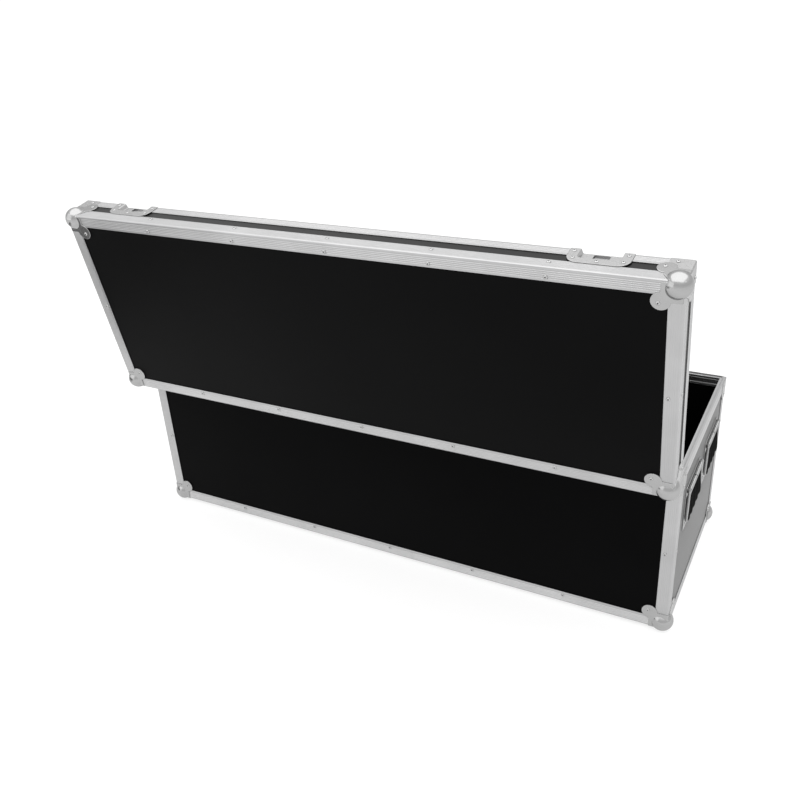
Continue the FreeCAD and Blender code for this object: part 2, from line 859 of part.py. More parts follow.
# ------------------------------------------------------------ handles
plates, rods, springs = [], [], []
for s, en in sides:
    for t, fn in ((-1, "front"), (1, "rear")):
        p = "handle_%s_%s" % (en, fn)
        yc = t * handle_pitch / 2
        face_x = s * inner_x  # outer face of the end panel
        px = s * (inner_x + skin + handle_out)  # pivot axis
        ptop = part_z - handle_top
        pz = ptop - handle_pivot
        hw = handle_width / 2
        round_y = Rotation(X, -90)

        def span(name, xa, xb, ya, yb, za, zb):
            """A block between two depths measured outwards from the case's middle."""
            if s > 0:
                return box(name, (xa, ya, za), (xb, yb, zb))
            return box(name, (-xb, ya, za), (-xa, yb, zb))

        out = inner_x + skin
        bodies = [
            span(p + "_plate", inner_x, out, yc - hw, yc + hw, ptop - handle_height, ptop)
        ]
        holes = []
        for e in (-1, 1):
            ya = yc + e * (arm_half - 5.5) - 1.5
            bodies.append(span(p + "_ear%d" % e, out - 1, out + handle_out, ya, ya + 3, pz - barrel, pz + barrel))
            bodies.append(cylinder(p + "_eye%d" % e, px, ya, pz, barrel, 3, round_y))
        holes.append(cylinder(p + "_eyes", px, yc - 90, pz, rod_radius + running, 180, round_y))
        plates.append(cut(p + "_plate_cut", fuse(p + "_plate_raw", bodies), holes))
        rods.append(
            fuse(
                p + "_rod",
                [
                    cylinder(p + "_rod_bar", px, yc - arm_half - 1, pz, rod_radius, 2 * arm_half + 2, round_y),
                    cylinder(p + "_rod_head_a", px, yc - arm_half - 2.5, pz, rod_radius + 1.7, 2, round_y),
                    cylinder(p + "_rod_head_b", px, yc + arm_half + 0.5, pz, rod_radius + 1.7, 2, round_y),
                ],
            )
        )
        # close-wound torsion springs, one each side of the middle
        for e in (-1, 1):
            ya = yc + 1 if e > 0 else yc - 1 - 63
            coils = [
                cylinder(p + "_coil_%d_%d" % (e, i), px, ya + 7 * i, pz, barrel if i % 2 == 0 else barrel - 0.5, 7, round_y)
                for i in range(9)
            ]
            springs.append(
                cut(
                    p + "_spring_%d" % e,
                    fuse(p + "_coils_%d" % e, coils),
                    [cylinder(p + "_core_%d" % e, px, ya - 1, pz, rod_radius + 0.6, 65, round_y)],
                )
            )
        # bail: two splayed straps on the rod, joined by the bar inside the grip
        straps = []
        for e in (-1, 1):
            ya = yc + e * (arm_half - arm_thick / 2) - arm_thick / 2
            drop = arm_length
            outline = [
                (10 - strap_half, 0),
                (10 - strap_half + arm_splay, drop),
                (10 + strap_half + arm_splay, drop),
                (10 + strap_half, 0),
            ]
            if s > 0:
                # sketch X outwards (+X), sketch Y downwards, pad along +Y
                strap = profile(
                    p + "_strap%d" % e, outline, arm_thick, (px - 10, ya, pz), axes(X, -Z)
                )
            else:
                # mirrored: the pad runs along -Y
                strap = profile(
                    p + "_strap%d" % e,
                    outline,
                    arm_thick,
                    (px + 10, ya + arm_thick, pz),
                    axes(-X, -Z),
                )
            straps.append(strap)
            straps.append(cylinder(p + "_boss%d" % e, px, ya, pz, barrel, arm_thick, round_y))
        gx = px - s * 0.3
        gz = pz - arm_length + 13
        straps.append(
            cylinder(p + "_bar", gx, yc - arm_half + 0.5, gz, bar_radius, 2 * arm_half - 1, round_y)
        )
        bail = cut(
            p + "_bail_cut",
            fuse(p + "_bail_raw", straps),
            [cylinder(p + "_bail_eyes", px, yc - 90, pz, rod_radius + running, 180, round_y)],
        )
        keep(p + "_bail", bail)
        # moulded grip: thick at the bar, thinner towards the rod
        gh, gt = grip_height, grip_thick
        grip_outline = [
            (1.5, 0), (gt - 2, 0), (gt, 2), (gt, 11), (4.2, gh - 2),
            (3.2, gh), (1.2, gh), (0, gh - 1.5), (0, 1.5),
        ]
        glen = 2 * arm_half - 2 * arm_thick - 1
        moulded = profile(
            p + "_moulded",
            grip_outline,
            glen,
            (s * (inner_x + skin + 1), yc + s * glen / 2, pz - arm_length + 0.5),
            axes(s * X, Z),
        )
        grip = cut(
            p + "_grip_cut",
            moulded,
            [cylinder(p + "_grip_bore", gx, yc - 90, gz, bar_radius + running, 180, round_y)],
        )
        keep(p + "_grip", grip)
keep("handle_plates", group("handle_plate_set", plates))
keep("handle_rods", group("handle_rod_set", rods))
keep("handle_springs", group("handle_spring_set", springs))

# ------------------------------------------------------------ rivets
doc.recompute()


def rivet(at, normal):
    """Low conical head on the surface, with its shank in the boards."""
    head = Part.makeCone(
        float(rivet_head), float(rivet_head) * 0.55, float(rivet_rise), at, normal
    )
    shank = Part.makeCylinder(
        float(rivet_shank), float(rivet_depth), at - normal * float(rivet_depth), normal
    )
    return head.fuse(shank).removeSplitter()


hx_, hy_, zp_, zt_, zb_ = [float(q) for q in (half_x, half_y, part_z, top_z, foot_rise)]
ins, pl, sk = float(rivet_inset), float(plate), float(skin)
low_set, lid_set = [], []
spots = (-485, -242, 0, 242, 485)
for sy in (-1, 1):
    for x in spots:
        low_set.append((Vector(x, sy * hy_, zb_ + ins), Y * sy))
        low_set.append((Vector(x, sy * (hy_ - ins), zb_), -Z))
        lid_set.append((Vector(x, sy * hy_, zt_ - ins), Y * sy))
        lid_set.append((Vector(x, sy * (hy_ - ins), zt_), Z))
for sx in (-1, 1):
    low_set.append((Vector(sx * hx_, 0, zb_ + ins), X * sx))
    low_set.append((Vector(sx * (hx_ - ins), 0, zb_), -Z))
    lid_set.append((Vector(sx * hx_, 0, zt_ - ins), X * sx))
    lid_set.append((Vector(sx * (hx_ - ins), 0, zt_), Z))
zmid = zb_ + float(base_height) / 2
lob = 47
for sx, sy in quarters:
    low_set.append((Vector(sx * (hx_ - ins), sy * hy_, zmid), Y * sy))
    low_set.append((Vector(sx * hx_, sy * (hy_ - ins), zmid), X * sx))
    low_set.append((Vector(sx * (hx_ - lob), sy * (hy_ - lob), zb_ - pl), -Z))
    low_set.append((Vector(sx * (hx_ - lob), sy * (hy_ + pl), zb_ + lob), Y * sy))
    low_set.append((Vector(sx * (hx_ + pl), sy * (hy_ - lob), zb_ + lob), X * sx))
    lid_set.append((Vector(sx * (hx_ - lob), sy * (hy_ - lob), zt_ + pl), Z))
    lid_set.append((Vector(sx * (hx_ - lob), sy * (hy_ + pl), zt_ - lob), Y * sy))
    lid_set.append((Vector(sx * (hx_ + pl), sy * (hy_ - lob), zt_ - lob), X * sx))
    for a, b in ((29, 12), (20, 38)):
        low_set.append((Vector(sx * (hx_ - a), sy * (hy_ + pl), zp_ - b), Y * sy))
        low_set.append((Vector(sx * (hx_ + pl), sy * (hy_ - a), zp_ - b), X * sx))
    lid_set.append((Vector(sx * (hx_ - 29), sy * (hy_ + pl), zp_ + 12), Y * sy))
    lid_set.append((Vector(sx * (hx_ + pl), sy * (hy_ - 29), zp_ + 12), X * sx))
for s, n in sides:
    cx = s * float(latch_x)
    for a, b in ((-52, 12), (52, 12), (-52, 45), (52, 45), (0, 72)):
        low_set.append((Vector(cx + a, -hy_ - pl, zp_ - b), -Y))
    for a, b in ((-52, 11), (52, 11), (-48, 36), (48, 36), (0, 43)):
        lid_set.append((Vector(cx + a, -hy_ - pl, zp_ + b), -Y))
    for t in (-1, 1):
        yc = t * float(handle_pitch) / 2
        z1 = zp_ - float(handle_top)
        for a, b in ((-45, 23), (45, 23), (-60, 106), (0, 106), (60, 106)):
            low_set.append((Vector(s * hx_, yc + a, z1 - b), X * s))
for q in hinge_x:
    for a in (-28, 28):
        for b, c in ((25, 14), (37, 34)):
            low_set.append((Vector(float(q) + a, hy_ + sk, zp_ - b), Y))
            lid_set.append((Vector(float(q) + a, hy_ + sk, zp_ + c), Y))
shape_node("base_rivets", [rivet(a, b) for a, b in low_set])
shape_node("lid_rivets", [rivet(a, b) for a, b in lid_set], True)

# ------------------------------------------------------------ check and write
doc.recompute()
for o in doc.Objects:
    if "Invalid" in o.State or "Error" in o.State:
        raise RuntimeError("%s failed: %s" % (o.Label, o.State))
if len(nodes) > 60:
    raise RuntimeError("too many pieces")
for label, o in nodes.items():
    if o.Shape.isNull() or not o.Shape.isValid() or not o.Shape.Solids:
        raise RuntimeError("%s has no valid shape" % label)
for label, o in nodes.items():
    o.Shape.exportStep("parts/%s.step" % label)
    b = o.Shape.BoundBox
    print(
        "%-28s %3d solids %12.1f mm3  x %8.1f %8.1f  y %8.1f %8.1f  z %8.1f %8.1f"
        % (label, len(o.Shape.Solids), o.Shape.Volume, b.XMin, b.XMax, b.YMin, b.YMax, b.ZMin, b.ZMax)
    )
print(len(nodes), "pieces")
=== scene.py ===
import math

import bpy
import numpy as np
from mathutils import Matrix, Vector


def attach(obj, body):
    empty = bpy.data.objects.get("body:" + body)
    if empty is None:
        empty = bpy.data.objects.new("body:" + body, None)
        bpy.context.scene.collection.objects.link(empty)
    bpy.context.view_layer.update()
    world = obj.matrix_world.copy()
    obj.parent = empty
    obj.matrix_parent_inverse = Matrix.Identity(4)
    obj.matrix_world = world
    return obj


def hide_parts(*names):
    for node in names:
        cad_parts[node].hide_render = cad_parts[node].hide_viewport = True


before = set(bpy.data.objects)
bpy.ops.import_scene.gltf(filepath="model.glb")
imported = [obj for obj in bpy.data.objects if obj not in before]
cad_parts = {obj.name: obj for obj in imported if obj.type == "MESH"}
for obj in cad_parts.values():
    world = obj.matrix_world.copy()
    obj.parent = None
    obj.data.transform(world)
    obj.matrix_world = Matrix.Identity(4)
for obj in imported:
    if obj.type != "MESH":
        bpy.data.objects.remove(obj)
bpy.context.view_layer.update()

# Sizes in millimetres, in the case's own frame with the lid closed.
HX, HY = 740.0, 257.5
ZB, ZP, ZT = 10.0, 440.0, 520.0
HINGE_Y = 264.5
OPEN_DEG = 100.5
X, Y, Z = np.eye(3)

pivot = Vector((0, HINGE_Y, ZP)) * 0.001
OPEN = (
    Matrix.Translation(pivot)
    @ Matrix.Rotation(math.radians(-OPEN_DEG), 4, "X")
    @ Matrix.Translation(-pivot)
)


# ---------------------------------------------------------------- materials
def new_material(name):
    m = bpy.data.materials.new(name)
    m.use_nodes = True
    nt = m.node_tree
    return m, nt, nt.nodes["Principled BSDF"]


def coords(nt, scale):
    """Object coordinates stretched by a scale per axis."""
    tc = nt.nodes.new("ShaderNodeTexCoord")
    mp = nt.nodes.new("ShaderNodeMapping")
    mp.inputs["Scale"].default_value = scale
    nt.links.new(tc.outputs["Object"], mp.inputs["Vector"])
    return mp.outputs["Vector"]


def noise(nt, vector, scale, detail=3.0, rough=0.55):
    n = nt.nodes.new("ShaderNodeTexNoise")
    n.inputs["Scale"].default_value = scale
    n.inputs["Detail"].default_value = detail
    n.inputs["Roughness"].default_value = rough
    nt.links.new(vector, n.inputs["Vector"])
    return n.outputs["Fac"]


def ramp(nt, fac, stops):
    r = nt.nodes.new("ShaderNodeValToRGB")
    e = r.color_ramp.elements
    while len(e) < len(stops):
        e.new(0.5)
    for el, (pos, col) in zip(e, stops):
        el.position = pos
        el.color = (*col, 1) if len(col) == 3 else (col[0], col[0], col[0], 1)
    nt.links.new(fac, r.inputs["Fac"])
    return r.outputs["Color"]


def span(nt, fac, low, high, from_low=0.3, from_high=0.7):
    r = nt.nodes.new("ShaderNodeMapRange")
    r.inputs["From Min"].default_value = from_low
    r.inputs["From Max"].default_value = from_high
    r.inputs["To Min"].default_value = low
    r.inputs["To Max"].default_value = high
    nt.links.new(fac, r.inputs["Value"])
    return r.outputs["Result"]


def bump(nt, height, strength, distance, after=None):
    b = nt.nodes.new("ShaderNodeBump")
    b.inputs["Strength"].default_value = strength
    b.inputs["Distance"].default_value = distance
    nt.links.new(height, b.inputs["Height"])
    if after is not None:
        nt.links.new(after, b.inputs["Normal"])
    return b.outputs["Normal"]


def grey(v):
    return (v, v, v)


def laminate(name, level, sheen=0.0, rough=(0.36, 0.46)):
    """Black phenolic film on board: a fine pebbled grain with a satin sheen."""
    m, nt, b = new_material(name)
    v = coords(nt, (1, 1, 1))
    cloud = noise(nt, v, 3.0, 4.0)
    grain = noise(nt, v, 900.0, 2.0, 0.6)
    nt.links.new(
        ramp(nt, cloud, [(0.3, (0.0012, 0.0012, 0.0013)), (0.75, (0.0019, 0.0019, 0.002))]),
        b.inputs["Base Color"],
    )
    nt.links.new(span(nt, grain, *rough), b.inputs["Roughness"])
    nt.links.new(bump(nt, grain, 0.12, 0.0003), b.inputs["Normal"])
    b.inputs["Specular IOR Level"].default_value = level
    b.inputs["Sheen Weight"].default_value = sheen
    b.inputs["Sheen Roughness"].default_value = 0.4
    return m


def aluminium(name, along, relief):
    """Drawn aluminium: fine lines along one axis, slow changes of tone."""
    m, nt, b = new_material(name)
    fine = [700.0, 700.0, 700.0]
    fine[along] = 3.0
    lines = noise(nt, coords(nt, fine), 1.0, 3.0, 0.6)
    cloud = noise(nt, coords(nt, (1, 1, 1)), 9.0, 4.0)
    b.inputs["Metallic"].default_value = 1.0
    nt.links.new(
        ramp(nt, cloud, [(0.25, (0.415, 0.415, 0.417)), (0.75, (0.47, 0.47, 0.472))]),
        b.inputs["Base Color"],
    )
    nt.links.new(span(nt, lines, 0.3, 0.42), b.inputs["Roughness"])
    nt.links.new(bump(nt, lines, relief, 0.0002), b.inputs["Normal"])
    return m


def plated(name, tone, rough, grain=260.0):
    """Zinc-plated pressed steel with a faint mottle."""
    m, nt, b = new_material(name)
    v = coords(nt, (1, 1, 1))
    mottle = noise(nt, v, grain, 3.0)
    cloud = noise(nt, v, 30.0, 3.0)
    b.inputs["Metallic"].default_value = 1.0
    nt.links.new(
        ramp(nt, cloud, [(0.3, grey(tone * 0.94)), (0.7, grey(tone))]),
        b.inputs["Base Color"],
    )
    b.inputs["Specular Tint"].default_value = (0.8, 0.8, 0.8, 1)
    nt.links.new(span(nt, mottle, rough * 0.85, rough * 1.2), b.inputs["Roughness"])
    nt.links.new(bump(nt, mottle, 0.06, 0.0003), b.inputs["Normal"])
    return m


def rubber():
    m, nt, b = new_material("grip_rubber")
    v = coords(nt, (1, 1, 1))
    pores = noise(nt, v, 1400.0, 2.0)
    cloud = noise(nt, v, 40.0, 3.0)
    nt.links.new(
        ramp(nt, cloud, [(0.3, grey(0.0045)), (0.7, grey(0.0078))]),
        b.inputs["Base Color"],
    )
    nt.links.new(span(nt, pores, 0.8, 0.9), b.inputs["Roughness"])
    nt.links.new(bump(nt, pores, 0.25, 0.0003), b.inputs["Normal"])
    b.inputs["Specular IOR Level"].default_value = 0.012
    return m


# Painted shade: the rivets' centre dimples get a near-black colour that stands in for the shadow down each rivet's
# hole.
def painted_hole_shade():
    m, nt, b = new_material("rivet_hole_painted_shade")
    v = coords(nt, (1, 1, 1))
    spots = noise(nt, v, 500.0, 2.0)
    nt.links.new(
        ramp(nt, spots, [(0.3, grey(0.02)), (0.7, grey(0.05))]), b.inputs["Base Color"]
    )
    nt.links.new(span(nt, spots, 0.45, 0.65), b.inputs["Roughness"])
    return m


LAMINATE = {
    "lid_top_panel": laminate("black_laminate_lid", 0.042),
    "long": laminate("black_laminate_long", 0.024),
    "strip": laminate("black_laminate_strip", 0.25),
    "end": laminate("black_laminate_end", 0.04, 0.34),
}
ALU = [aluminium("aluminium_x", 0, 0.12), aluminium("aluminium_y", 1, 0.05), aluminium("aluminium_z", 2, 0.05)]
PLATED = plated("plated_steel", 0.405, 0.17)
SHEET = plated("plated_sheet", 0.44, 0.3)
LATCH = plated("latch_steel", 0.41, 0.26)
PIN = plated("pin_steel", 0.42, 0.28)
SPRING = plated("spring_steel", 0.44, 0.3)
RIVET = plated("rivet_steel", 0.5, 0.24)
# painted shade for the rivet holes
HOLE_SHADE = painted_hole_shade()
RUBBER = rubber()


# ------------------------------------------------------------ mesh building
def piece(name, parts, mats, body, nodes, normals=False, angle=32):
    """One object from several parts: (vertices in mm, faces, normals, material index)."""
    verts, faces, index, norms = [], [], [], []
    start = 0
    for part in parts:
        v, f, n, k = (list(part) + [None, 0])[:4] if len(part) < 4 else part
        verts.append(np.asarray(v, float))
        faces += [[int(i) + start for i in q] for q in f]
        index += [k] * len(f)
        if normals:
            norms.append(np.asarray(n, float))
        start += len(v)
    verts = np.concatenate(verts) * 0.001
    me = bpy.data.meshes.new(name)
    me.from_pydata(verts.tolist(), [], faces)
    me.validate()
    me.update()
    for m in mats:
        me.materials.append(m)
    me.polygons.foreach_set("use_smooth", [True] * len(me.polygons))
    if len(mats) > 1:
        me.polygons.foreach_set("material_index", index)
    if normals:
        me.normals_split_custom_set_from_vertices(np.concatenate(norms).tolist())
    else:
        me.set_sharp_from_angle(angle=math.radians(angle))
    ob = bpy.data.objects.new(name, me)
    bpy.context.scene.collection.objects.link(ob)
    if body == "lid":
        ob.matrix_world = OPEN
    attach(ob, body)
    if nodes:
        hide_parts(*nodes)
    return ob


def copy_part(part, signs=(1, 1, 1), at=(0, 0, 0)):
    """A part mirrored by the signs and moved."""
    s = np.asarray(signs, float)
    v = np.asarray(part[0], float) * s + np.asarray(at, float)
    f = [list(q) for q in part[1]]
    if s.prod() < 0:
        f = [q[::-1] for q in f]
    n = None if part[2] is None else np.asarray(part[2]) * s
    return (v, f, n, part[3] if len(part) > 3 else 0)


def turn_part(part, rows, at=(0, 0, 0)):
    """A part carried by a matrix whose columns are the images of its axes."""
    m = np.asarray(rows, float).T
    v = np.asarray(part[0], float) @ m.T + np.asarray(at, float)
    f = [list(q) for q in part[1]]
    if np.linalg.det(m) < 0:
        f = [q[::-1] for q in f]
    n = None if part[2] is None else np.asarray(part[2]) @ m.T
    return (v, f, n, part[3] if len(part) > 3 else 0)


def extrude(profile, origin, ax, ay, az, length, mitre=(0, 0)):
    """A closed profile run along az; mitre slopes its ends by the profile's first coordinate."""
    pts = np.asarray(profile, float)
    o, ax, ay, az = [np.asarray(q, float) for q in (origin, ax, ay, az)]
    flat = o + pts[:, :1] * ax + pts[:, 1:] * ay
    n = len(pts)
    v = np.concatenate(
        [flat + pts[:, :1] * mitre[0] * az, flat + (length - pts[:, :1] * mitre[1]) * az]
    )
    area = 0.5 * np.sum(
        pts[:, 0] * np.roll(pts[:, 1], -1) - np.roll(pts[:, 0], -1) * pts[:, 1]
    )
    f = [[i, (i + 1) % n, n + (i + 1) % n, n + i] for i in range(n)]
    f += [list(range(n))[::-1], list(range(n, 2 * n))]
    if area * np.dot(np.cross(ax, ay), az) < 0:
        f = [q[::-1] for q in f]
    return (v, f, None, 0)


def rounded(points, radii, n=5):
    """A polygon with its corners rounded."""
    out = []
    pts = [np.asarray(p, float) for p in points]
    if not hasattr(radii, "__len__"):
        radii = [radii] * len(pts)
    for i, p in enumerate(pts):
        a, b = pts[i - 1] - p, pts[(i + 1) % len(pts)] - p
        la, lb = np.linalg.norm(a), np.linalg.norm(b)
        a, b = a / la, b / lb
        r = radii[i]
        ang = math.acos(max(-1, min(1, float(a @ b))))
        if r <= 0 or ang > math.pi - 1e-3:
            out.append(p)
            continue
        d = min(r / math.tan(ang / 2), 0.49 * la, 0.49 * lb)
        r = d * math.tan(ang / 2)
        mid = (a + b) / np.linalg.norm(a + b)
        c = p + mid * (r / math.sin(ang / 2))
        s, e = p + a * d - c, p + b * d - c
        sweep = math.atan2(s[0] * e[1] - s[1] * e[0], s @ e)
        for k in range(n + 1):
            t = sweep * k / n
            out.append(
                c
                + np.array(
                    [s[0] * math.cos(t) - s[1] * math.sin(t), s[0] * math.sin(t) + s[1] * math.cos(t)]
                )
            )
    return np.array(out)


def slab(outline, thick, bevel, hole=None):
    """A flat plate in XY, z 0 to thick, with its upper and lower edges bevelled."""
    p = np.asarray(outline, float)
    area = 0.5 * np.sum(p[:, 0] * np.roll(p[:, 1], -1) - np.roll(p[:, 0], -1) * p[:, 1])
    if area < 0:
        p = p[::-1]
    e = np.roll(p, -1, 0) - p
    e /= np.linalg.norm(e, axis=1)[:, None] + 1e-12
    nrm = np.stack([e[:, 1], -e[:, 0]], 1)
    vn = nrm + np.roll(nrm, 1, 0)
    vn /= np.linalg.norm(vn, axis=1)[:, None] + 1e-12
    rings = [(bevel, 0), (bevel * 0.3, bevel * 0.3), (0, bevel), (0, thick - bevel), (bevel * 0.3, thick - bevel * 0.3), (bevel, thick)]
    n = len(p)
    v = np.concatenate([np.column_stack([p - vn * i, np.full(n, z)]) for i, z in rings])
    f = []
    for r in range(len(rings) - 1):
        f += [[r * n + i, r * n + (i + 1) % n, (r + 1) * n + (i + 1) % n, (r + 1) * n + i] for i in range(n)]
    f += [list(range(n))[::-1], list(range((len(rings) - 1) * n, len(rings) * n))]
    return (v, f, None, 0)


def lathe(profile, segs=24, index=None):
    """A profile of (radius, height) turned about Z; ends at radius 0 are closed."""
    v, f, k = [], [], []
    rings = []
    for r, z in profile:
        if r < 1e-6:
            rings.append([len(v)])
            v.append((0, 0, z))
        else:
            rings.append(list(range(len(v), len(v) + segs)))
            v += [
                (r * math.cos(2 * math.pi * i / segs), r * math.sin(2 * math.pi * i / segs), z)
                for i in range(segs)
            ]
    for a, b in zip(rings, rings[1:]):
        for i in range(segs):
            j = (i + 1) % segs
            if len(a) == 1 and len(b) == 1:
                continue
            if len(a) == 1:
                f.append([a[0], b[j], b[i]])
            elif len(b) == 1:
                f.append([a[i], a[j], b[0]])
            else:
                f.append([a[i], a[j], b[j], b[i]])
    return (np.array(v, float), f, None, 0)


def nets(field, low, high, step):
    """The closed surface field = 0 as vertices, quads and normals."""
    n = [int(math.ceil((b - a) / step)) + 1 for a, b in zip(low, high)]
    grid_axes = [a + step * np.arange(k) for a, k in zip(low, n)]
    g = np.stack(np.meshgrid(*grid_axes, indexing="ij"), -1).reshape(-1, 3)
    v = field(g).reshape(n)
    neg = v < 0
    m = [k - 1 for k in n]
    total = np.zeros(m, int)
    corner = {}
    for i in (0, 1):
        for j in (0, 1):
            for k in (0, 1):
                c = neg[i : i + m[0], j : j + m[1], k : k + m[2]]
                corner[i, j, k] = c
                total += c
    active = (total > 0) & (total < 8)
    ids = -np.ones(m, int)
    ids[active] = np.arange(active.sum())
    pos = np.zeros((*m, 3))
    cnt = np.zeros(m)
    for d in range(3):
        for a in (0, 1):
            for b in (0, 1):
                o = [0, 0, 0]
                others = [q for q in range(3) if q != d]
                o[others[0]], o[others[1]] = a, b
                e = list(o)
                e[d] = 1
                va = v[o[0] : o[0] + m[0], o[1] : o[1] + m[1], o[2] : o[2] + m[2]]
                vb = v[e[0] : e[0] + m[0], e[1] : e[1] + m[1], e[2] : e[2] + m[2]]
                cross = (va < 0) != (vb < 0)
                t = np.where(cross, va / np.where(cross, va - vb, 1), 0)
                for q in range(3):
                    pos[..., q] += np.where(cross, t if q == d else o[q], 0)
                cnt += cross
    cells = np.argwhere(active)
    p = pos[active] / cnt[active][:, None]
    p = np.asarray(low, float) + (cells + p) * step
    quads = []
    for d in range(3):
        others = [q for q in range(3) if q != d]
        s0 = [slice(None)] * 3
        s1 = [slice(None)] * 3
        s0[d], s1[d] = slice(0, n[d] - 1), slice(1, n[d])
        for q in others:
            s0[q] = s1[q] = slice(1, n[q] - 1)
        na, nb = neg[tuple(s0)], neg[tuple(s1)]
        for flip, hit in ((False, na & ~nb), (True, ~na & nb)):
            at = np.argwhere(hit)
            if not len(at):
                continue
            ring = []
            for a, b in ((-1, -1), (0, -1), (0, 0), (-1, 0)):
                c = at.copy()
                c[:, others[0]] += 1 + a
                c[:, others[1]] += 1 + b
                ring.append(ids[c[:, 0], c[:, 1], c[:, 2]])
            q = np.stack(ring, 1)
            if flip != (d == 1):
                q = q[:, ::-1]
            quads.append(q)
    quads = np.concatenate(quads)

    def gradient(p, eps):
        return np.stack(
            [field(p + eps * np.eye(3)[q]) - field(p - eps * np.eye(3)[q]) for q in range(3)], 1
        ) / (2 * eps)

    for _ in range(3):
        gr = gradient(p, 0.15 * step)
        move = (field(p) / (np.sum(gr * gr, 1) + 1e-9))[:, None] * gr
        size = np.linalg.norm(move, axis=1)[:, None] + 1e-12
        p = p - move * np.minimum(1, 0.35 * step / size)
    nr = gradient(p, 0.3 * step)
    nr /= np.linalg.norm(nr, axis=1)[:, None] + 1e-12
    return (p, quads.tolist(), nr, 0)


def smin(a, b, k):
    h = np.clip(0.5 + 0.5 * (b - a) / k, 0, 1)
    return b * (1 - h) + a * h - k * h * (1 - h)


def smax(a, b, k):
    return -smin(-a, -b, k)


def box_field(p, low, high, r=0.3):
    c = (np.asarray(low, float) + np.asarray(high, float)) / 2
    h = (np.asarray(high, float) - np.asarray(low, float)) / 2
    q = np.abs(p - c) - (h - r)
    return np.linalg.norm(np.maximum(q, 0), axis=1) + np.minimum(q.max(1), 0) - r


def rod_field(p, centre, axis, radius, low, high, r=0.3):
    """A round bar along one axis between two positions on it."""
    others = [q for q in range(3) if q != axis]
    d = np.hypot(p[:, others[0]] - centre[others[0]], p[:, others[1]] - centre[others[1]]) - radius
    return smax(d, np.maximum(low - p[:, axis], p[:, axis] - high), r)


# ------------------------------------------------------------ boards
for n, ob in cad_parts.items():
    if n.endswith("_panel"):
        ob.data.materials.clear()
        kind = "strip" if n.startswith("lid_") else "end" if "left" in n or "right" in n else "long"
        ob.data.materials.append(LAMINATE.get(n, LAMINATE[kind]))

# ------------------------------------------------------------ edge angles
FLUTES = (7.0, 11.0, 15.0, 19.0, 23.0)


def fluted(a, b, places, depth, half=1.3):
    """Points from a to b with grooves cut to the left of the way."""
    a, b = np.asarray(a, float), np.asarray(b, float)
    d = (b - a) / np.linalg.norm(b - a)
    inward = np.array([-d[1], d[0]])
    out = []
    for s in places:
        c = a + d * s
        out += [c - d * half, c - d * half * 0.35 + inward * depth, c + d * half * 0.35 + inward * depth, c + d * half]
    return out


def angle_profile(depth):
    """30 x 30 x 2 angle, outer corner at the origin, grooves on both faces."""
    w, t, r = 30.0, 2.0, 3.2
    pts = [np.array([w, t - 0.5]), np.array([w, 0.5]), np.array([w - 0.5, 0.0])]
    # along the first face towards the corner: the metal is on the other side, so grooves run inwards
    first = fluted((0, 0), (w, 0), FLUTES, depth)
    pts += first[::-1]
    pts += [np.array([r - r * math.sin(a), r - r * math.cos(a)]) for a in np.linspace(0, math.pi / 2, 7)]
    pts += [np.array([q[1], q[0]]) for q in first]
    pts += [np.array([0.0, w - 0.5]), np.array([0.5, w]), np.array([t - 0.5, w]), np.array([t, w - 0.5])]
    pts += [np.array([t, t + 0.5]), np.array([t + 0.5, t]), np.array([w - 0.5, t])]
    return np.array(pts)


ANGLE, WORN = angle_profile(0.95), angle_profile(0.4)
EX, EY = HX - 32, HY - 32
edges = [
    ("base_bottom_edge_front", (-EX, -HY, ZB), Y, Z, X, 2 * EX, 0, "base"),
    ("base_bottom_edge_rear", (EX, HY, ZB), -Y, Z, -X, 2 * EX, 0, "base"),
    ("base_bottom_edge_left", (-HX, EY, ZB), X, Z, -Y, 2 * EY, 1, "base"),
    ("base_bottom_edge_right", (HX, -EY, ZB), -X, Z, Y, 2 * EY, 1, "base"),
    ("lid_top_edge_front", (EX, -HY, ZT), Y, -Z, -X, 2 * EX, 0, "lid"),
    ("lid_top_edge_rear", (-EX, HY, ZT), -Y, -Z, X, 2 * EX, 0, "lid"),
    ("lid_top_edge_left", (-HX, -EY, ZT), X, -Z, Y, 2 * EY, 1, "lid"),
    ("lid_top_edge_right", (HX, EY, ZT), -X, -Z, -Y, 2 * EY, 1, "lid"),
]
for node, o, ax, ay, az, length, axis, body in edges:
    piece(node + "_angle", [extrude(WORN if axis else ANGLE, o, ax, ay, az, length)], [ALU[axis]], body, [node])

corner_axes = [(-1, -1, X, Y), (1, -1, Y, -X), (1, 1, -X, -Y), (-1, 1, -Y, X)]
piece(
    "base_posts",
    [extrude(WORN, (sx * HX, sy * HY, ZB + 32), a, b, Z, ZP - 28.5 - ZB - 32) for sx, sy, a, b in corner_axes],
    [ALU[2]],
    "base",
    ["base_corner_posts"],
)
piece(
    "lid_posts",
    [extrude(WORN, (sx * HX, sy * HY, ZP + 25.5), a, b, Z, 80 - 32 - 25.5) for sx, sy, a, b in corner_axes],
    [ALU[2]],
    "lid",
    ["lid_corner_posts"],
)

# ------------------------------------------------------------ rims
H = 28.5


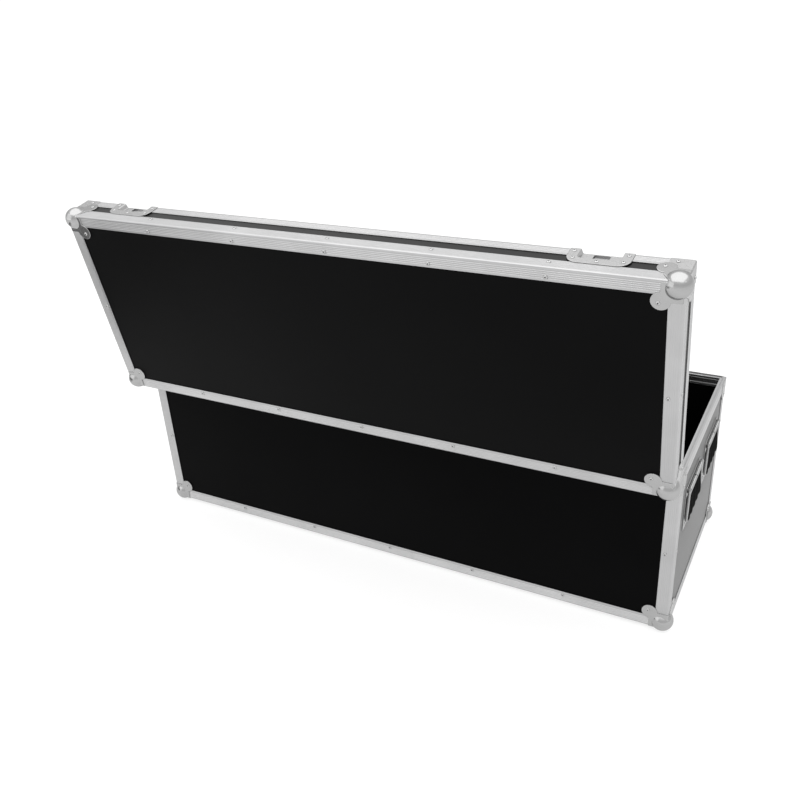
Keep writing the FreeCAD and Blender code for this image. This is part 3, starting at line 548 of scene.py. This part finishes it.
def base_rim_profile():
    pts = [(0, 0.4), (0.4, 0), (1.6, 0), (2, 0.4), (2, 22.5), (11.5, 22.5), (11.5, 1.9), (11.9, 1.5), (13.1, 1.5), (13.5, 1.9)]
    # two ribs along the inner leg, undercut below the edge and between them
    pts += [(13.5, 8.0), (13.4, 8.35), (12.9, 8.6), (12.7, 9.2), (12.7, 13.0), (13.4, 20.6), (13.5, 21.0), (13.4, 21.35), (12.9, 21.6), (12.7, 22.2), (12.8, 24.0)]
    pts += [(13.5, 27.35), (13.2, 28.05), (12.5, 28.35), (8, 28.35), (7.6, 31.6), (7.0, 32.35), (6.5, 32.35), (5.9, 31.6), (5.5, 28.35)]
    pts += [(2.2, 28.35), (1.0, 28.0), (0.35, 27.3), (0, 26.2)]
    for s in (20.5, 15.5, 10.5):
        pts += [(0, s + 1.3), (0.75, s + 0.45), (0.75, s - 0.45), (0, s - 1.3)]
    return np.array(pts)


def lid_rim_profile():
    pts = [(2.2, 0.15), (3.75, 0.15), (3.75, 5.15), (9.75, 5.15), (9.75, 0.15), (12.5, 0.15), (13.2, 0.45), (13.5, 1.15), (13.5, 26.6), (13.1, 27), (11.9, 27), (11.5, 26.6), (11.5, 8), (2, 8), (2, 25.1), (1.6, 25.5), (0.4, 25.5), (0, 25.1)]
    for s in (18, 13, 8):
        pts += [(0, s + 1.3), (0.75, s + 0.45), (0.75, s - 0.45), (0, s - 1.3)]
    pts += [(0, 2.3), (0.35, 1.2), (1.0, 0.5)]
    return np.array(pts)


RIM_LOW, RIM_UP = base_rim_profile(), lid_rim_profile()
LATCH_X = (-571.0, 571.0)


def clip_profile(profile, t0):
    """The part of a profile with first coordinate at least t0, for the notched runs."""
    p = np.asarray(profile, float)
    out = []
    for i in range(len(p)):
        a, b = p[i], p[(i + 1) % len(p)]
        if a[0] >= t0:
            out.append(a)
        if (a[0] >= t0) != (b[0] >= t0):
            s = (t0 - a[0]) / (b[0] - a[0])
            out.append(a + s * (b - a))
    return np.array(out)


def rim_parts(profile, z0, side):
    if side == "rear":
        return [extrude(profile, (HX, HY, z0), -Y, Z, -X, 2 * HX, (1, 1))], ALU[0]
    if side == "left":
        return [extrude(profile, (-HX, HY, z0), X, Z, -Y, 2 * HY, (1, 1))], ALU[1]
    if side == "right":
        return [extrude(profile, (HX, -HY, z0), -X, Z, Y, 2 * HY, (1, 1))], ALU[1]
    parts = []
    stops = [-HX, LATCH_X[0] - 44, LATCH_X[0] + 44, LATCH_X[1] - 44, LATCH_X[1] + 44, HX]
    for i in range(5):
        a, b = stops[i], stops[i + 1]
        if i % 2 == 0:
            parts.append(extrude(profile, (a, -HY, z0), Y, Z, X, b - a, (1 if i == 0 else 0, 1 if i == 4 else 0)))
        elif z0 < ZP - 1:
            parts.append(extrude(clip_profile(profile, 10.1), (a, -HY, z0), Y, Z, X, b - a))
        else:
            for c, d in ((a, a + 28.5), (b - 28.5, b)):
                parts.append(extrude(clip_profile(profile, 10.1), (c, -HY, z0), Y, Z, X, d - c))
            # behind the keeper's slot the rim is hollowed for the hook
            strip = [(10.1, 0.15), (12.5, 0.15), (13.2, 0.45), (13.5, 1.15), (13.5, 26.6), (13.1, 27), (12.5, 27), (12.5, 2.1), (10.1, 2.1)]
            parts.append(extrude(strip, (a + 28.5, -HY, z0), Y, Z, X, b - a - 57))
    return parts, ALU[0]


for side in ("front", "rear", "left", "right"):
    parts, mat = rim_parts(RIM_LOW, ZP - H, side)
    piece("base_rim_%s_bar" % side, parts, [mat], "base", ["base_rim_" + side])
    parts, mat = rim_parts(RIM_UP, ZP, side)
    piece("lid_rim_%s_bar" % side, parts, [mat], "lid", ["lid_rim_" + side])

# ------------------------------------------------------------ ball corners
PLATE = 1.5


def case_corner(p, out, r):
    """Distance to the rounded outside of a corner that fills x, y, z > 0, grown by out."""
    w = r - (p + out)
    return np.linalg.norm(np.maximum(w, 0), axis=1) + np.minimum(w.max(1), 0) - r


def ball_corner(foot):
    def field(p):
        x, y, z = p.T
        leg = 44.0
        a = box_field(p, (-9, -9, -9), (leg, 30, 30), 2.5)
        b = box_field(p, (-9, -9, -9), (30, leg, 30), 2.5)
        c = box_field(p, (-9, -9, -9), (30, 30, leg), 2.5)
        if not foot:
            # on the lid's walls the legs end on a slope between the ball and the lobe
            a = np.maximum(a, np.minimum((x - 29.5 - 0.745 * z) * 0.8, 3.0 - y))
            b = np.maximum(b, np.minimum((y - 29.5 - 0.745 * z) * 0.8, 3.0 - x))
        legs = np.minimum(np.minimum(a, b), c)
        for u, v, w in ((x, y, z), (y, z, x), (z, x, y)):
            lobe = np.maximum(np.hypot(u - 43, v - 43) - 18.5, np.maximum(-w - 9, w - 4))
            legs = smin(legs, lobe, 3.0)
        shell = smax(legs, case_corner(p, PLATE, 4.0), 0.7)
        shell = smax(shell, p.min(1) - 3.2, 0.5)
        ball = np.linalg.norm(p - 15.5, axis=1) - 26.5
        d = smin(shell, ball, 1.0)
        d = np.maximum(d, p.min(1) - 3.2)
        if foot:
            d = smax(d, -10.0 - z, 0.6)
        return d

    return nets(field, (-13.5, -13.5, -13.5), (66, 66, 66), 1.05)


quarters = [(sx, sy) for sx in (-1, 1) for sy in (-1, 1)]
foot_corner, lid_corner = ball_corner(True), ball_corner(False)
piece(
    "base_ball_corners_pressed",
    [copy_part(foot_corner, (-sx, -sy, 1), (sx * HX, sy * HY, ZB)) for sx, sy in quarters],
    [PLATED],
    "base",
    ["base_ball_corners"],
    normals=True,
)
piece(
    "lid_ball_corners_pressed",
    [copy_part(lid_corner, (-sx, -sy, -1), (sx * HX, sy * HY, ZT)) for sx, sy in quarters],
    [PLATED],
    "lid",
    ["lid_ball_corners"],
    normals=True,
)


# ------------------------------------------------------------ rim corner braces
def brace(rise, slope, out):
    def field(p):
        x, y, z = p.T
        length = 44.5

        def face(u, w):
            d = np.maximum(np.maximum(u - length, -z), z - rise)
            d = np.maximum(d, ((u - length) + (z - rise) + slope) * 0.7071)
            return np.maximum(d, w - 1.2)

        d = np.minimum(face(x, y), face(y, x))
        w = 4.0 - (np.stack([x, y], 1) + out)
        outer = np.linalg.norm(np.maximum(w, 0), axis=1) + np.minimum(w.max(1), 0) - 4.0
        return smax(d, outer, 0.6)

    return nets(field, (-5, -5, -3), (49, 49, rise + 3), 1.0)


# the lid's braces lie a little lower, their tops under the ball corners' lobes
low_brace, high_brace = brace(52.0, 14.0, PLATE), brace(35.5, 8.0, PLATE - 0.3)
piece(
    "base_braces",
    [copy_part(low_brace, (-sx, -sy, -1), (sx * HX, sy * HY, ZP - 0.5)) for sx, sy in quarters],
    [SHEET],
    "base",
    ["base_corner_braces"],
    normals=True,
)
piece(
    "lid_braces",
    [copy_part(high_brace, (-sx, -sy, 1), (sx * HX, sy * HY, ZP + 0.5)) for sx, sy in quarters],
    [SHEET],
    "lid",
    ["lid_corner_braces"],
    normals=True,
)


# ------------------------------------------------------------ latches
def smooth(a, b, x):
    t = np.clip((x - a) / (b - a), 0, 1)
    return t * t * (3 - 2 * t)


def rect2(u, v, u0, u1, v0, v1, r):
    qx = np.abs(u - (u0 + u1) / 2) - ((u1 - u0) / 2 - r)
    qy = np.abs(v - (v0 + v1) / 2) - ((v1 - v0) / 2 - r)
    return np.hypot(np.maximum(qx, 0), np.maximum(qy, 0)) + np.minimum(np.maximum(qx, qy), 0) - r


def dish(height, deep, slot, hole):
    """Pressed dish: u along the case, v away from the parting plane, w outwards."""

    def field(p):
        u, v, w = p.T
        well = rect2(u, v, -42, 42, -60, deep, 9.0)
        t = np.clip((well + 5.0) / 5.5, 0, 1)
        top = -8.5 + 10.0 * t * t * (3 - 2 * t)
        rise = 10.0 / 5.5 * 6 * t * (1 - t)
        d = np.abs(w - (top - 0.75)) / np.sqrt(1 + rise * rise) - 0.75
        face = rect2(u, v, -61, 61, -60, height, 24.0)
        d = smax(d, np.maximum(face, 0.5 - v), 0.5)
        if slot:
            d = smax(d, -rect2(u, v, -15.5, 15.5, 2.6, 25.5, 2.0), 0.4)
        if hole:
            d = smax(d, 4.2 - np.hypot(u, v - 36), 0.4)
        return d

    return nets(field, (-65, -1.5, -12), (65, height + 3, 4), 0.9)


dish_part, keeper_part = dish(78.0, 66.0, False, True), dish(52.0, 34.0, True, False)


def spindle_part():
    def field(p):
        # x along the case, y outwards from the dish floor, z up, from the spindle's axis
        d = rod_field(p, (0, 0, 0), 1, 4.0, -1.6, 1.0)
        d = np.minimum(d, rod_field(p, (0, 0, 0), 1, 7.0, -2.7, -1.7))
        d = np.minimum(d, rod_field(p, (0, 0, 4.3), 1, 10.0, 0.3, 6.2))
        d = smin(d, rod_field(p, (0, 0, 0), 1, 14.0, 6.0, 7.4, 0.5), 0.3)
        for s in (-1, 1):
            ear = np.minimum(
                box_field(p, (s * 9.8 - 1.5, 7.0, -2.6), (s * 9.8 + 1.5, 9.9, 2.6)),
                rod_field(p, (0, 9.9, 0), 0, 2.6, s * 9.8 - 1.5, s * 9.8 + 1.5),
            )
            d = smin(d, ear, 0.4)
        return smax(d, 1.35 - np.hypot(p[:, 1] - 9.9, p[:, 2]), 0.15)

    return nets(field, (-16, -4, -16), (16, 14, 16), 0.5)


def wing_part():
    def field(p):
        # x along the case, y outwards from the wing's pivot, z up
        x, y, z = np.abs(p[:, 0]), p[:, 1], p[:, 2]
        down = -z
        neck = rect2(x, down, -7.5, 7.5, -1, 12, 1.0)
        blade = np.hypot((x - 17.0) * 0.9, down - 11.6) - 7.9
        bridge = rect2(x, down, -16, 16, 6.6, 14.6, 2.5)
        outline = smin(smin(neck, blade, 3.0), bridge, 3.0)
        plate = smax(outline, np.abs(y) - 1.0, 0.6)
        knuckle = rod_field(p, (0, 0, 0), 0, 2.2, -8.0, 8.0)
        trunnion = rod_field(p, (0, 0, 0), 0, 1.25, -11.3, 11.3)
        return smin(smin(plate, knuckle, 0.6), trunnion, 0.1)

    return nets(field, (-29, -4, -24), (29, 4, 4), 0.5)


def hook_part():
    def field(p):
        # from the eccentric's centre: x along, y outwards from the dish floor, z up
        ring = box_field(p, (-20, 4.2, -16), (20, 5.7, 16), 0.4)
        neck = box_field(p, (-14.5, 4.2, 0), (14.5, 5.7, 47.0), 0.4)
        nose = box_field(p, (-14.5, 0.5, 43.0), (14.5, 5.7, 47.0), 0.8)
        d = smin(np.minimum(ring, neck), nose, 0.6)
        hole = box_field(p, (-14.9, -2, -11.1), (14.9, 9, 11.1), 1.5)
        return smax(d, -hole, 0.4)

    return nets(field, (-22, -1, -18), (22, 8, 50), 0.6)


spindle_mesh, wing_mesh, hook_mesh = spindle_part(), wing_part(), hook_part()
FLOOR_Y = -HY + 8.5
ZS = ZP - 36
OUT = (X, -Y, Z)
for side, cx in zip(("left", "right"), LATCH_X):
    n = "latch_" + side
    piece(n + "_dish_pressed", [turn_part(dish_part, (X, -Z, -Y), (cx, -HY, ZP))], [SHEET], "base", [n + "_dish"], normals=True)
    piece(n + "_keeper_pressed", [turn_part(keeper_part, (X, Z, -Y), (cx, -HY, ZP))], [SHEET], "lid", [n + "_keeper"], normals=True)
    piece(n + "_spindle_turned", [turn_part(spindle_mesh, OUT, (cx, FLOOR_Y, ZS))], [LATCH], n + "_spindle", [n + "_spindle"], normals=True)
    piece(n + "_wing_pressed", [turn_part(wing_mesh, OUT, (cx, FLOOR_Y - 9.9, ZS))], [LATCH], n + "_wing", [n + "_wing"], normals=True)
    piece(n + "_hook_pressed", [turn_part(hook_mesh, OUT, (cx, FLOOR_Y, ZS + 4.3))], [LATCH], n + "_hook", [n + "_hook"], normals=True)


# ------------------------------------------------------------ stop hinges
def leaf_part(upper):
    """One leaf: x along the case, y out from the profile plane, z up from the parting plane."""
    turn = math.radians(OPEN_DEG)

    def field(p):
        x, y, z = p.T
        v = z if upper else -z
        plate = smax(rect2(x, v, -40, 40, 2, 44, 5.0), np.abs(y - 1.0) - 1.0, 0.5)
        d = plate
        runs = ((-40, -13.4), (13.4, 40)) if upper else ((-13, 13),)
        for a, b in runs:
            q = np.stack([x, y, v], 1)
            d = smin(d, box_field(q, (a, 0, 2), (b, 7, 5), 0.3), 1.0)
            d = smin(d, rod_field(p, (0, 7, 0), 0, 5.0, a, b, 0.5), 0.8)
            if upper:
                # the stop lug, seen from the open lid: turn the point back to that pose
                yy, zz = y - 7, z
                yo = yy * math.cos(turn) + zz * math.sin(turn) + 7
                zo = -yy * math.sin(turn) + zz * math.cos(turn)
                d = smin(d, box_field(np.stack([x, yo, zo], 1), (a, 2.3, -16), (b, 6, -1), 0.5), 0.6)
        return smax(d, 2.6 - np.hypot(y - 7, z), 0.2)

    if upper:
        return nets(field, (-43, -2, -8), (43, 26, 47), 0.85)
    return nets(field, (-43, -2, -47), (43, 14, 8), 0.85)


low_leaf, up_leaf = leaf_part(False), leaf_part(True)
HINGE_X = (-520.0, 0.0, 520.0)
piece("hinge_leaves_low", [copy_part(low_leaf, at=(x, HY, ZP)) for x in HINGE_X], [SHEET], "base", ["hinge_base_leaves"], normals=True)
piece("hinge_leaves_up", [copy_part(up_leaf, at=(x, HY, ZP)) for x in HINGE_X], [SHEET], "lid", ["hinge_lid_leaves"], normals=True)
pin_profile = [(0, 0), (1.9, 0), (2.5, 0.6), (2.5, 81.4), (1.9, 82), (0, 82)]
pin = lathe(pin_profile, 24)
piece("hinge_pins_drawn", [turn_part(pin, (Y, Z, X), (x - 41, HINGE_Y, ZP)) for x in HINGE_X], [PIN], "base", ["hinge_pins"])

# ------------------------------------------------------------ handles
PZ = ZP - 78 - 10.0
PITCH = 107.0
ends = [("left", -1), ("right", 1)]
halves = [("front", -1), ("rear", 1)]


def arc(cx, cy, r, a0, a1, n=10):
    return [(cx + r * math.cos(t), cy + r * math.sin(t)) for t in np.radians(np.linspace(a0, a1, n))]


def handle_plate():
    """Local frame: x outwards from the board, y along the end, z up from the pivot."""
    parts = []
    # plate lies 2 mm thick on the board, its top edge 10 above the pivot
    outline = rounded([(-74, 10), (-74, -108), (74, -108), (74, 10)], 5.0, 4)
    parts.append(turn_part(slab(outline, 2.0, 0.5), (Y, Z, X), (-2, 0, 0)))
    for e in (-1, 1):
        ear = [(-1, -4.6)] + arc(5, 0, 4.6, -90, 90, 14) + [(-1, 4.6)]
        parts.append(turn_part(slab(np.array(ear), 3.0, 0.3), (X, Z, -Y), (0, e * 66.5 + 1.5, 0)))
    return parts


def rod_parts():
    half = [(2.8, 72.5), (4.2, 72.5), (4.5, 72.9), (4.5, 73.7), (3.4, 74.4), (0, 74.5)]
    prof = [(r, -y) for r, y in reversed(half)] + half
    return [turn_part(lathe(prof, 28), (Z, X, Y), (5.0, 0, 0))]


def spring_parts():
    """Two close-wound coils on the rod."""
    parts = []
    wire, mean, turns, seg, ring = 0.85, 3.75, 36, 18, 8
    for y0 in (-64.0, 1.0):
        v, f = [], []
        total = int(turns * seg)
        for i in range(total + 1):
            t = 2 * math.pi * i / seg
            yc = y0 + wire + (63 - 2 * wire) * i / total
            for k in range(ring):
                a = 2 * math.pi * k / ring
                r = mean + wire * math.cos(a)
                v.append((5.0 + r * math.cos(t), yc + wire * math.sin(a), r * math.sin(t)))
        for i in range(total):
            for k in range(ring):
                j = (k + 1) % ring
                f.append([i * ring + k, i * ring + j, (i + 1) * ring + j, (i + 1) * ring + k])
        f.append(list(range(ring))[::-1])
        f.append([total * ring + k for k in range(ring)])
        parts.append((np.array(v), f, None, 0))
    return parts


def bail_parts():
    parts = []
    # strap in the plane x, z: round eye on the pivot, leaning a little inwards to the bar
    foot = rounded([(1.8, -3.3), (1.3, -81), (7.7, -81), (8.2, -3.3)], (0, 2.5, 2.5, 0), 5)
    outline = list(foot) + arc(5, 0, 4.6, -45.9, 225.9, 24)[1:-1]
    for e in (-1, 1):
        parts.append(turn_part(slab(np.array(outline)[::-1], 3.0, 0.45), (X, Z, -Y), (0, e * 70.5 + 1.5, 0)))
    half = [(2.5, 69.5), (2.5, 71.1), (2.1, 71.45), (0, 71.5)]
    bar = lathe([(r, -y) for r, y in reversed(half)] + half, 24)
    parts.append(turn_part(bar, (Z, X, Y), (4.7, 0, -68)))
    return parts


def grip_part():
    """Moulded grip: thick at the bar, thinner towards the rod, with shallow finger waves."""
    outline = [(1.5, 0), (7, 0), (9, 2), (9, 11), (4.2, 58), (3.2, 60), (1.2, 60), (0, 58.5), (0, 1.5)]
    flat = rounded(outline, (1.5, 2, 2, 6, 1.5, 0.8, 0.8, 1.2, 1.5), 4) + np.array([1.0, -80.5])
    middle = np.array([5.0, -58.0])
    rings, n = 68, len(flat)
    v, f = [], []
    for i in range(rings + 1):
        s = -68.5 + 137.0 * i / rings
        edge = min(s + 68.5, 68.5 - s)
        end = math.sqrt(max(0.0, 1 - (1 - min(1, edge / 3.0)) ** 2))
        soft = np.array([0.8 + 0.2 * end, 0.96 + 0.04 * end])
        wave = 0.75 * (math.cos(2 * math.pi * s / 30.0) - 1) * min(1, edge / 6)
        ring = middle + (flat - middle) * soft
        ring[:, 0] += wave * np.clip((flat[:, 0] - 4.0) / 6.0, 0, 1)
        v += [(a, s, b) for a, b in ring]
    for i in range(rings):
        for k in range(n):
            j = (k + 1) % n
            f.append([i * n + k, (i + 1) * n + k, (i + 1) * n + j, i * n + j])
    f.append(list(range(n)))
    f.append([rings * n + k for k in range(n)][::-1])
    return (np.array(v), f, None, 0)


def at_handle(part, s, t):
    return copy_part(part, (s, 1, 1), (s * HX, t * PITCH, PZ))


plate_set, rod_set, spring_set = [], [], []
bail, grip = bail_parts(), grip_part()
for en, s in ends:
    for fn, t in halves:
        plate_set += [at_handle(q, s, t) for q in handle_plate()]
        rod_set += [at_handle(q, s, t) for q in rod_parts()]
        spring_set += [at_handle(q, s, t) for q in spring_parts()]
        n = "handle_%s_%s" % (en, fn)
        piece(n + "_bail_strap", [at_handle(q, s, t) for q in bail], [SHEET], n, [n + "_bail"])
        piece(n + "_grip_moulded", [at_handle(grip, s, t)], [RUBBER], n, [n + "_grip"], angle=50)
piece("handle_plates_pressed", plate_set, [SHEET], "base", ["handle_plates"])
piece("handle_rods_drawn", rod_set, [PIN], "base", ["handle_rods"])
piece("handle_springs_wound", spring_set, [SPRING], "base", ["handle_springs"], angle=60)

# ------------------------------------------------------------ rivets
head = lathe([(0, -0.3), (4.3, -0.3), (4.3, 0.3), (4.1, 0.85), (3.5, 1.4), (2.7, 1.8), (1.9, 1.95), (1.6, 1.8)], 20)
# The centre dimple of each rivet head takes the second material, a painted shade that stands in for the shadow in the
# rivet's hole.
shaded_dimple = lathe([(1.6, 1.8), (1.4, 1.0), (0.7, 0.9), (0, 0.92)], 20)
shaded_dimple = (shaded_dimple[0], shaded_dimple[1], None, 1)


def frame_of(n):
    n = np.asarray(n, float)
    a = np.array([0.0, 0, 1]) if abs(n[2]) < 0.5 else np.array([1.0, 0, 0])
    a = a - n * (a @ n)
    return a, np.cross(n, a), n


def rivet_set(spots):
    out = []
    for at, n in spots:
        for q in (head, shaded_dimple):
            out.append(turn_part(q, frame_of(n), at))
    return out


low, lid = [], []
INS, LOB = 21.0, 47.0
for sy in (-1, 1):
    for x in (-485, -242, 0, 242, 485):
        low += [((x, sy * HY, ZB + INS), Y * sy), ((x, sy * (HY - INS), ZB), -Z)]
        lid += [((x, sy * HY, ZT - INS), Y * sy), ((x, sy * (HY - INS), ZT), Z)]
for sx in (-1, 1):
    low += [((sx * HX, 0, ZB + INS), X * sx), ((sx * (HX - INS), 0, ZB), -Z)]
    lid += [((sx * HX, 0, ZT - INS), X * sx), ((sx * (HX - INS), 0, ZT), Z)]
mid_z = ZB + 215
for sx, sy in quarters:
    low += [((sx * (HX - INS), sy * HY, mid_z), Y * sy), ((sx * HX, sy * (HY - INS), mid_z), X * sx)]
    low.append(((sx * (HX - LOB), sy * (HY - LOB), ZB - PLATE), -Z))
    low.append(((sx * (HX - LOB), sy * (HY + PLATE), ZB + LOB), Y * sy))
    low.append(((sx * (HX + PLATE), sy * (HY - LOB), ZB + LOB), X * sx))
    lid.append(((sx * (HX - LOB), sy * (HY - LOB), ZT + PLATE), Z))
    lid.append(((sx * (HX - LOB), sy * (HY + PLATE), ZT - LOB), Y * sy))
    lid.append(((sx * (HX + PLATE), sy * (HY - LOB), ZT - LOB), X * sx))
    for a, b in ((29, 12), (20, 38)):
        low.append(((sx * (HX - a), sy * (HY + PLATE), ZP - b), Y * sy))
        low.append(((sx * (HX + PLATE), sy * (HY - a), ZP - b), X * sx))
    lid.append(((sx * (HX - 29), sy * (HY + PLATE), ZP + 12), Y * sy))
    lid.append(((sx * (HX + PLATE), sy * (HY - 29), ZP + 12), X * sx))
for cx in LATCH_X:
    for a, b in ((-52, 12), (52, 12), (-52, 45), (52, 45), (0, 72)):
        low.append(((cx + a, -HY - PLATE, ZP - b), -Y))
    for a, b in ((-52, 11), (52, 11), (-48, 36), (48, 36), (0, 43)):
        lid.append(((cx + a, -HY - PLATE, ZP + b), -Y))
for s in (-1, 1):
    for t in (-1, 1):
        for a, b in ((-45, 23), (45, 23), (-60, 106), (0, 106), (60, 106)):
            low.append(((s * HX, t * PITCH + a, ZP - 78 - b), X * s))
for x in HINGE_X:
    for a in (-28, 28):
        for b, c in ((25, 14), (37, 34)):
            low.append(((x + a, HY + 2, ZP - b), Y))
            lid.append(((x + a, HY + 2, ZP + c), Y))
piece("base_rivet_heads", rivet_set(low), [RIVET, HOLE_SHADE], "base", ["base_rivets"], angle=45)
piece("lid_rivet_heads", rivet_set(lid), [RIVET, HOLE_SHADE], "lid", ["lid_rivets"], angle=45)

# ------------------------------------------------------------ stage
floor_mesh = bpy.data.meshes.new("floor")
s = 60.0
floor_mesh.from_pydata([(-s, -s, 0), (s, -s, 0), (s, s, 0), (-s, s, 0)], [], [(0, 1, 2, 3)])
floor = bpy.data.objects.new("floor", floor_mesh)
bpy.context.scene.collection.objects.link(floor)
fm, fnt, fb = new_material("floor_paper")
fv = coords(fnt, (1, 1, 1))
fnt.links.new(ramp(fnt, noise(fnt, fv, 0.6, 2.0), [(0.3, grey(0.3)), (0.7, grey(0.32))]), fb.inputs["Base Color"])
fb.inputs["Roughness"].default_value = 0.9
fb.inputs["Specular IOR Level"].default_value = 0.0
fb.inputs["Emission Color"].default_value = (1, 1, 1, 1)
fb.inputs["Emission Strength"].default_value = 0.73
floor_mesh.materials.append(fm)

scene = bpy.context.scene
world = bpy.data.worlds.new("studio")
scene.world = world
world.use_nodes = True
bg = world.node_tree.nodes["Background"]
# a white room, a little brighter overhead and level with the floor at the horizon
wnt = world.node_tree
wtc = wnt.nodes.new("ShaderNodeTexCoord")
wsep = wnt.nodes.new("ShaderNodeSeparateXYZ")
wnt.links.new(wtc.outputs["Generated"], wsep.inputs["Vector"])
wstops = [(0.0, grey(1.0)), (0.06, grey(1.0)), (0.2, grey(0.86)), (0.47, grey(0.95)), (0.64, grey(1.25)), (0.9, grey(1.25))]
wnt.links.new(ramp(wnt, wsep.outputs["Z"], wstops), bg.inputs["Color"])
bg.inputs["Strength"].default_value = 1.0


def softbox(name, at, to, size, power):
    data = bpy.data.lights.new(name, "AREA")
    data.shape = "RECTANGLE"
    data.size, data.size_y = size
    data.energy = power
    ob = bpy.data.objects.new(name, data)
    scene.collection.objects.link(ob)
    ob.location = at
    ob.rotation_euler = (Vector(to) - Vector(at)).to_track_quat("-Z", "Y").to_euler()
    ob.visible_camera = False
    return ob


softbox("top_box", (-0.1, 0.5, 3.7), (-0.1, 0.4, 0.3), (6.4, 5.4), 105)
softbox("side_box", (2.7, 2.8, 1.7), (-0.2, 0.2, 0.4), (3.6, 2.4), 18)

# a grey card beside the case, seen only in reflections, that shades the bright metal at that end
card_mesh = bpy.data.meshes.new("grey_card")
card_mesh.from_pydata([(1.5, 0.5, 0.0), (1.5, 1.6, 0.0), (1.5, 1.6, 0.46), (1.5, 0.5, 0.46)], [], [(0, 1, 2, 3)])
card = bpy.data.objects.new("grey_card", card_mesh)
scene.collection.objects.link(card)
km, knt, kb = new_material("grey_card")
ksep = knt.nodes.new("ShaderNodeSeparateXYZ")
knt.links.new(coords(knt, (1, 1, 1)), ksep.inputs["Vector"])
knt.links.new(ramp(knt, ksep.outputs["Z"], [(0.0, grey(0.6)), (0.42, grey(0.12))]), kb.inputs["Base Color"])
kb.inputs["Roughness"].default_value = 0.9
kb.inputs["Specular IOR Level"].default_value = 0.0
card_mesh.materials.append(km)
card.visible_camera = card.visible_diffuse = card.visible_shadow = card.visible_transmission = False

# ------------------------------------------------------------ camera
az, el, roll = math.radians(209.29), math.radians(27.42), math.radians(-3.63)
dist = 2.49864
target = Vector((0.08399, 0, 0.33971))
back = Vector((math.sin(az) * math.cos(el), -math.cos(az) * math.cos(el), math.sin(el)))
fwd = -back
right = fwd.cross(Vector((0, 0, 1))).normalized()
up = right.cross(fwd)
r2 = right * math.cos(roll) + up * math.sin(roll)
u2 = -right * math.sin(roll) + up * math.cos(roll)
cam_data = bpy.data.cameras.new("camera")
cam_data.sensor_width = 36
cam_data.sensor_fit = "HORIZONTAL"
cam_data.lens = 887.99 / 800 * 36
cam_data.clip_end = 200
cam = bpy.data.objects.new("camera", cam_data)
scene.collection.objects.link(cam)
m = Matrix.Identity(4)
for i in range(3):
    m[i][0], m[i][1], m[i][2] = r2[i], u2[i], back[i]
    m[i][3] = (target + back * dist)[i]
cam.matrix_world = m
scene.camera = cam
scene.view_settings.view_transform = "Standard"
scene.view_settings.look = "None"
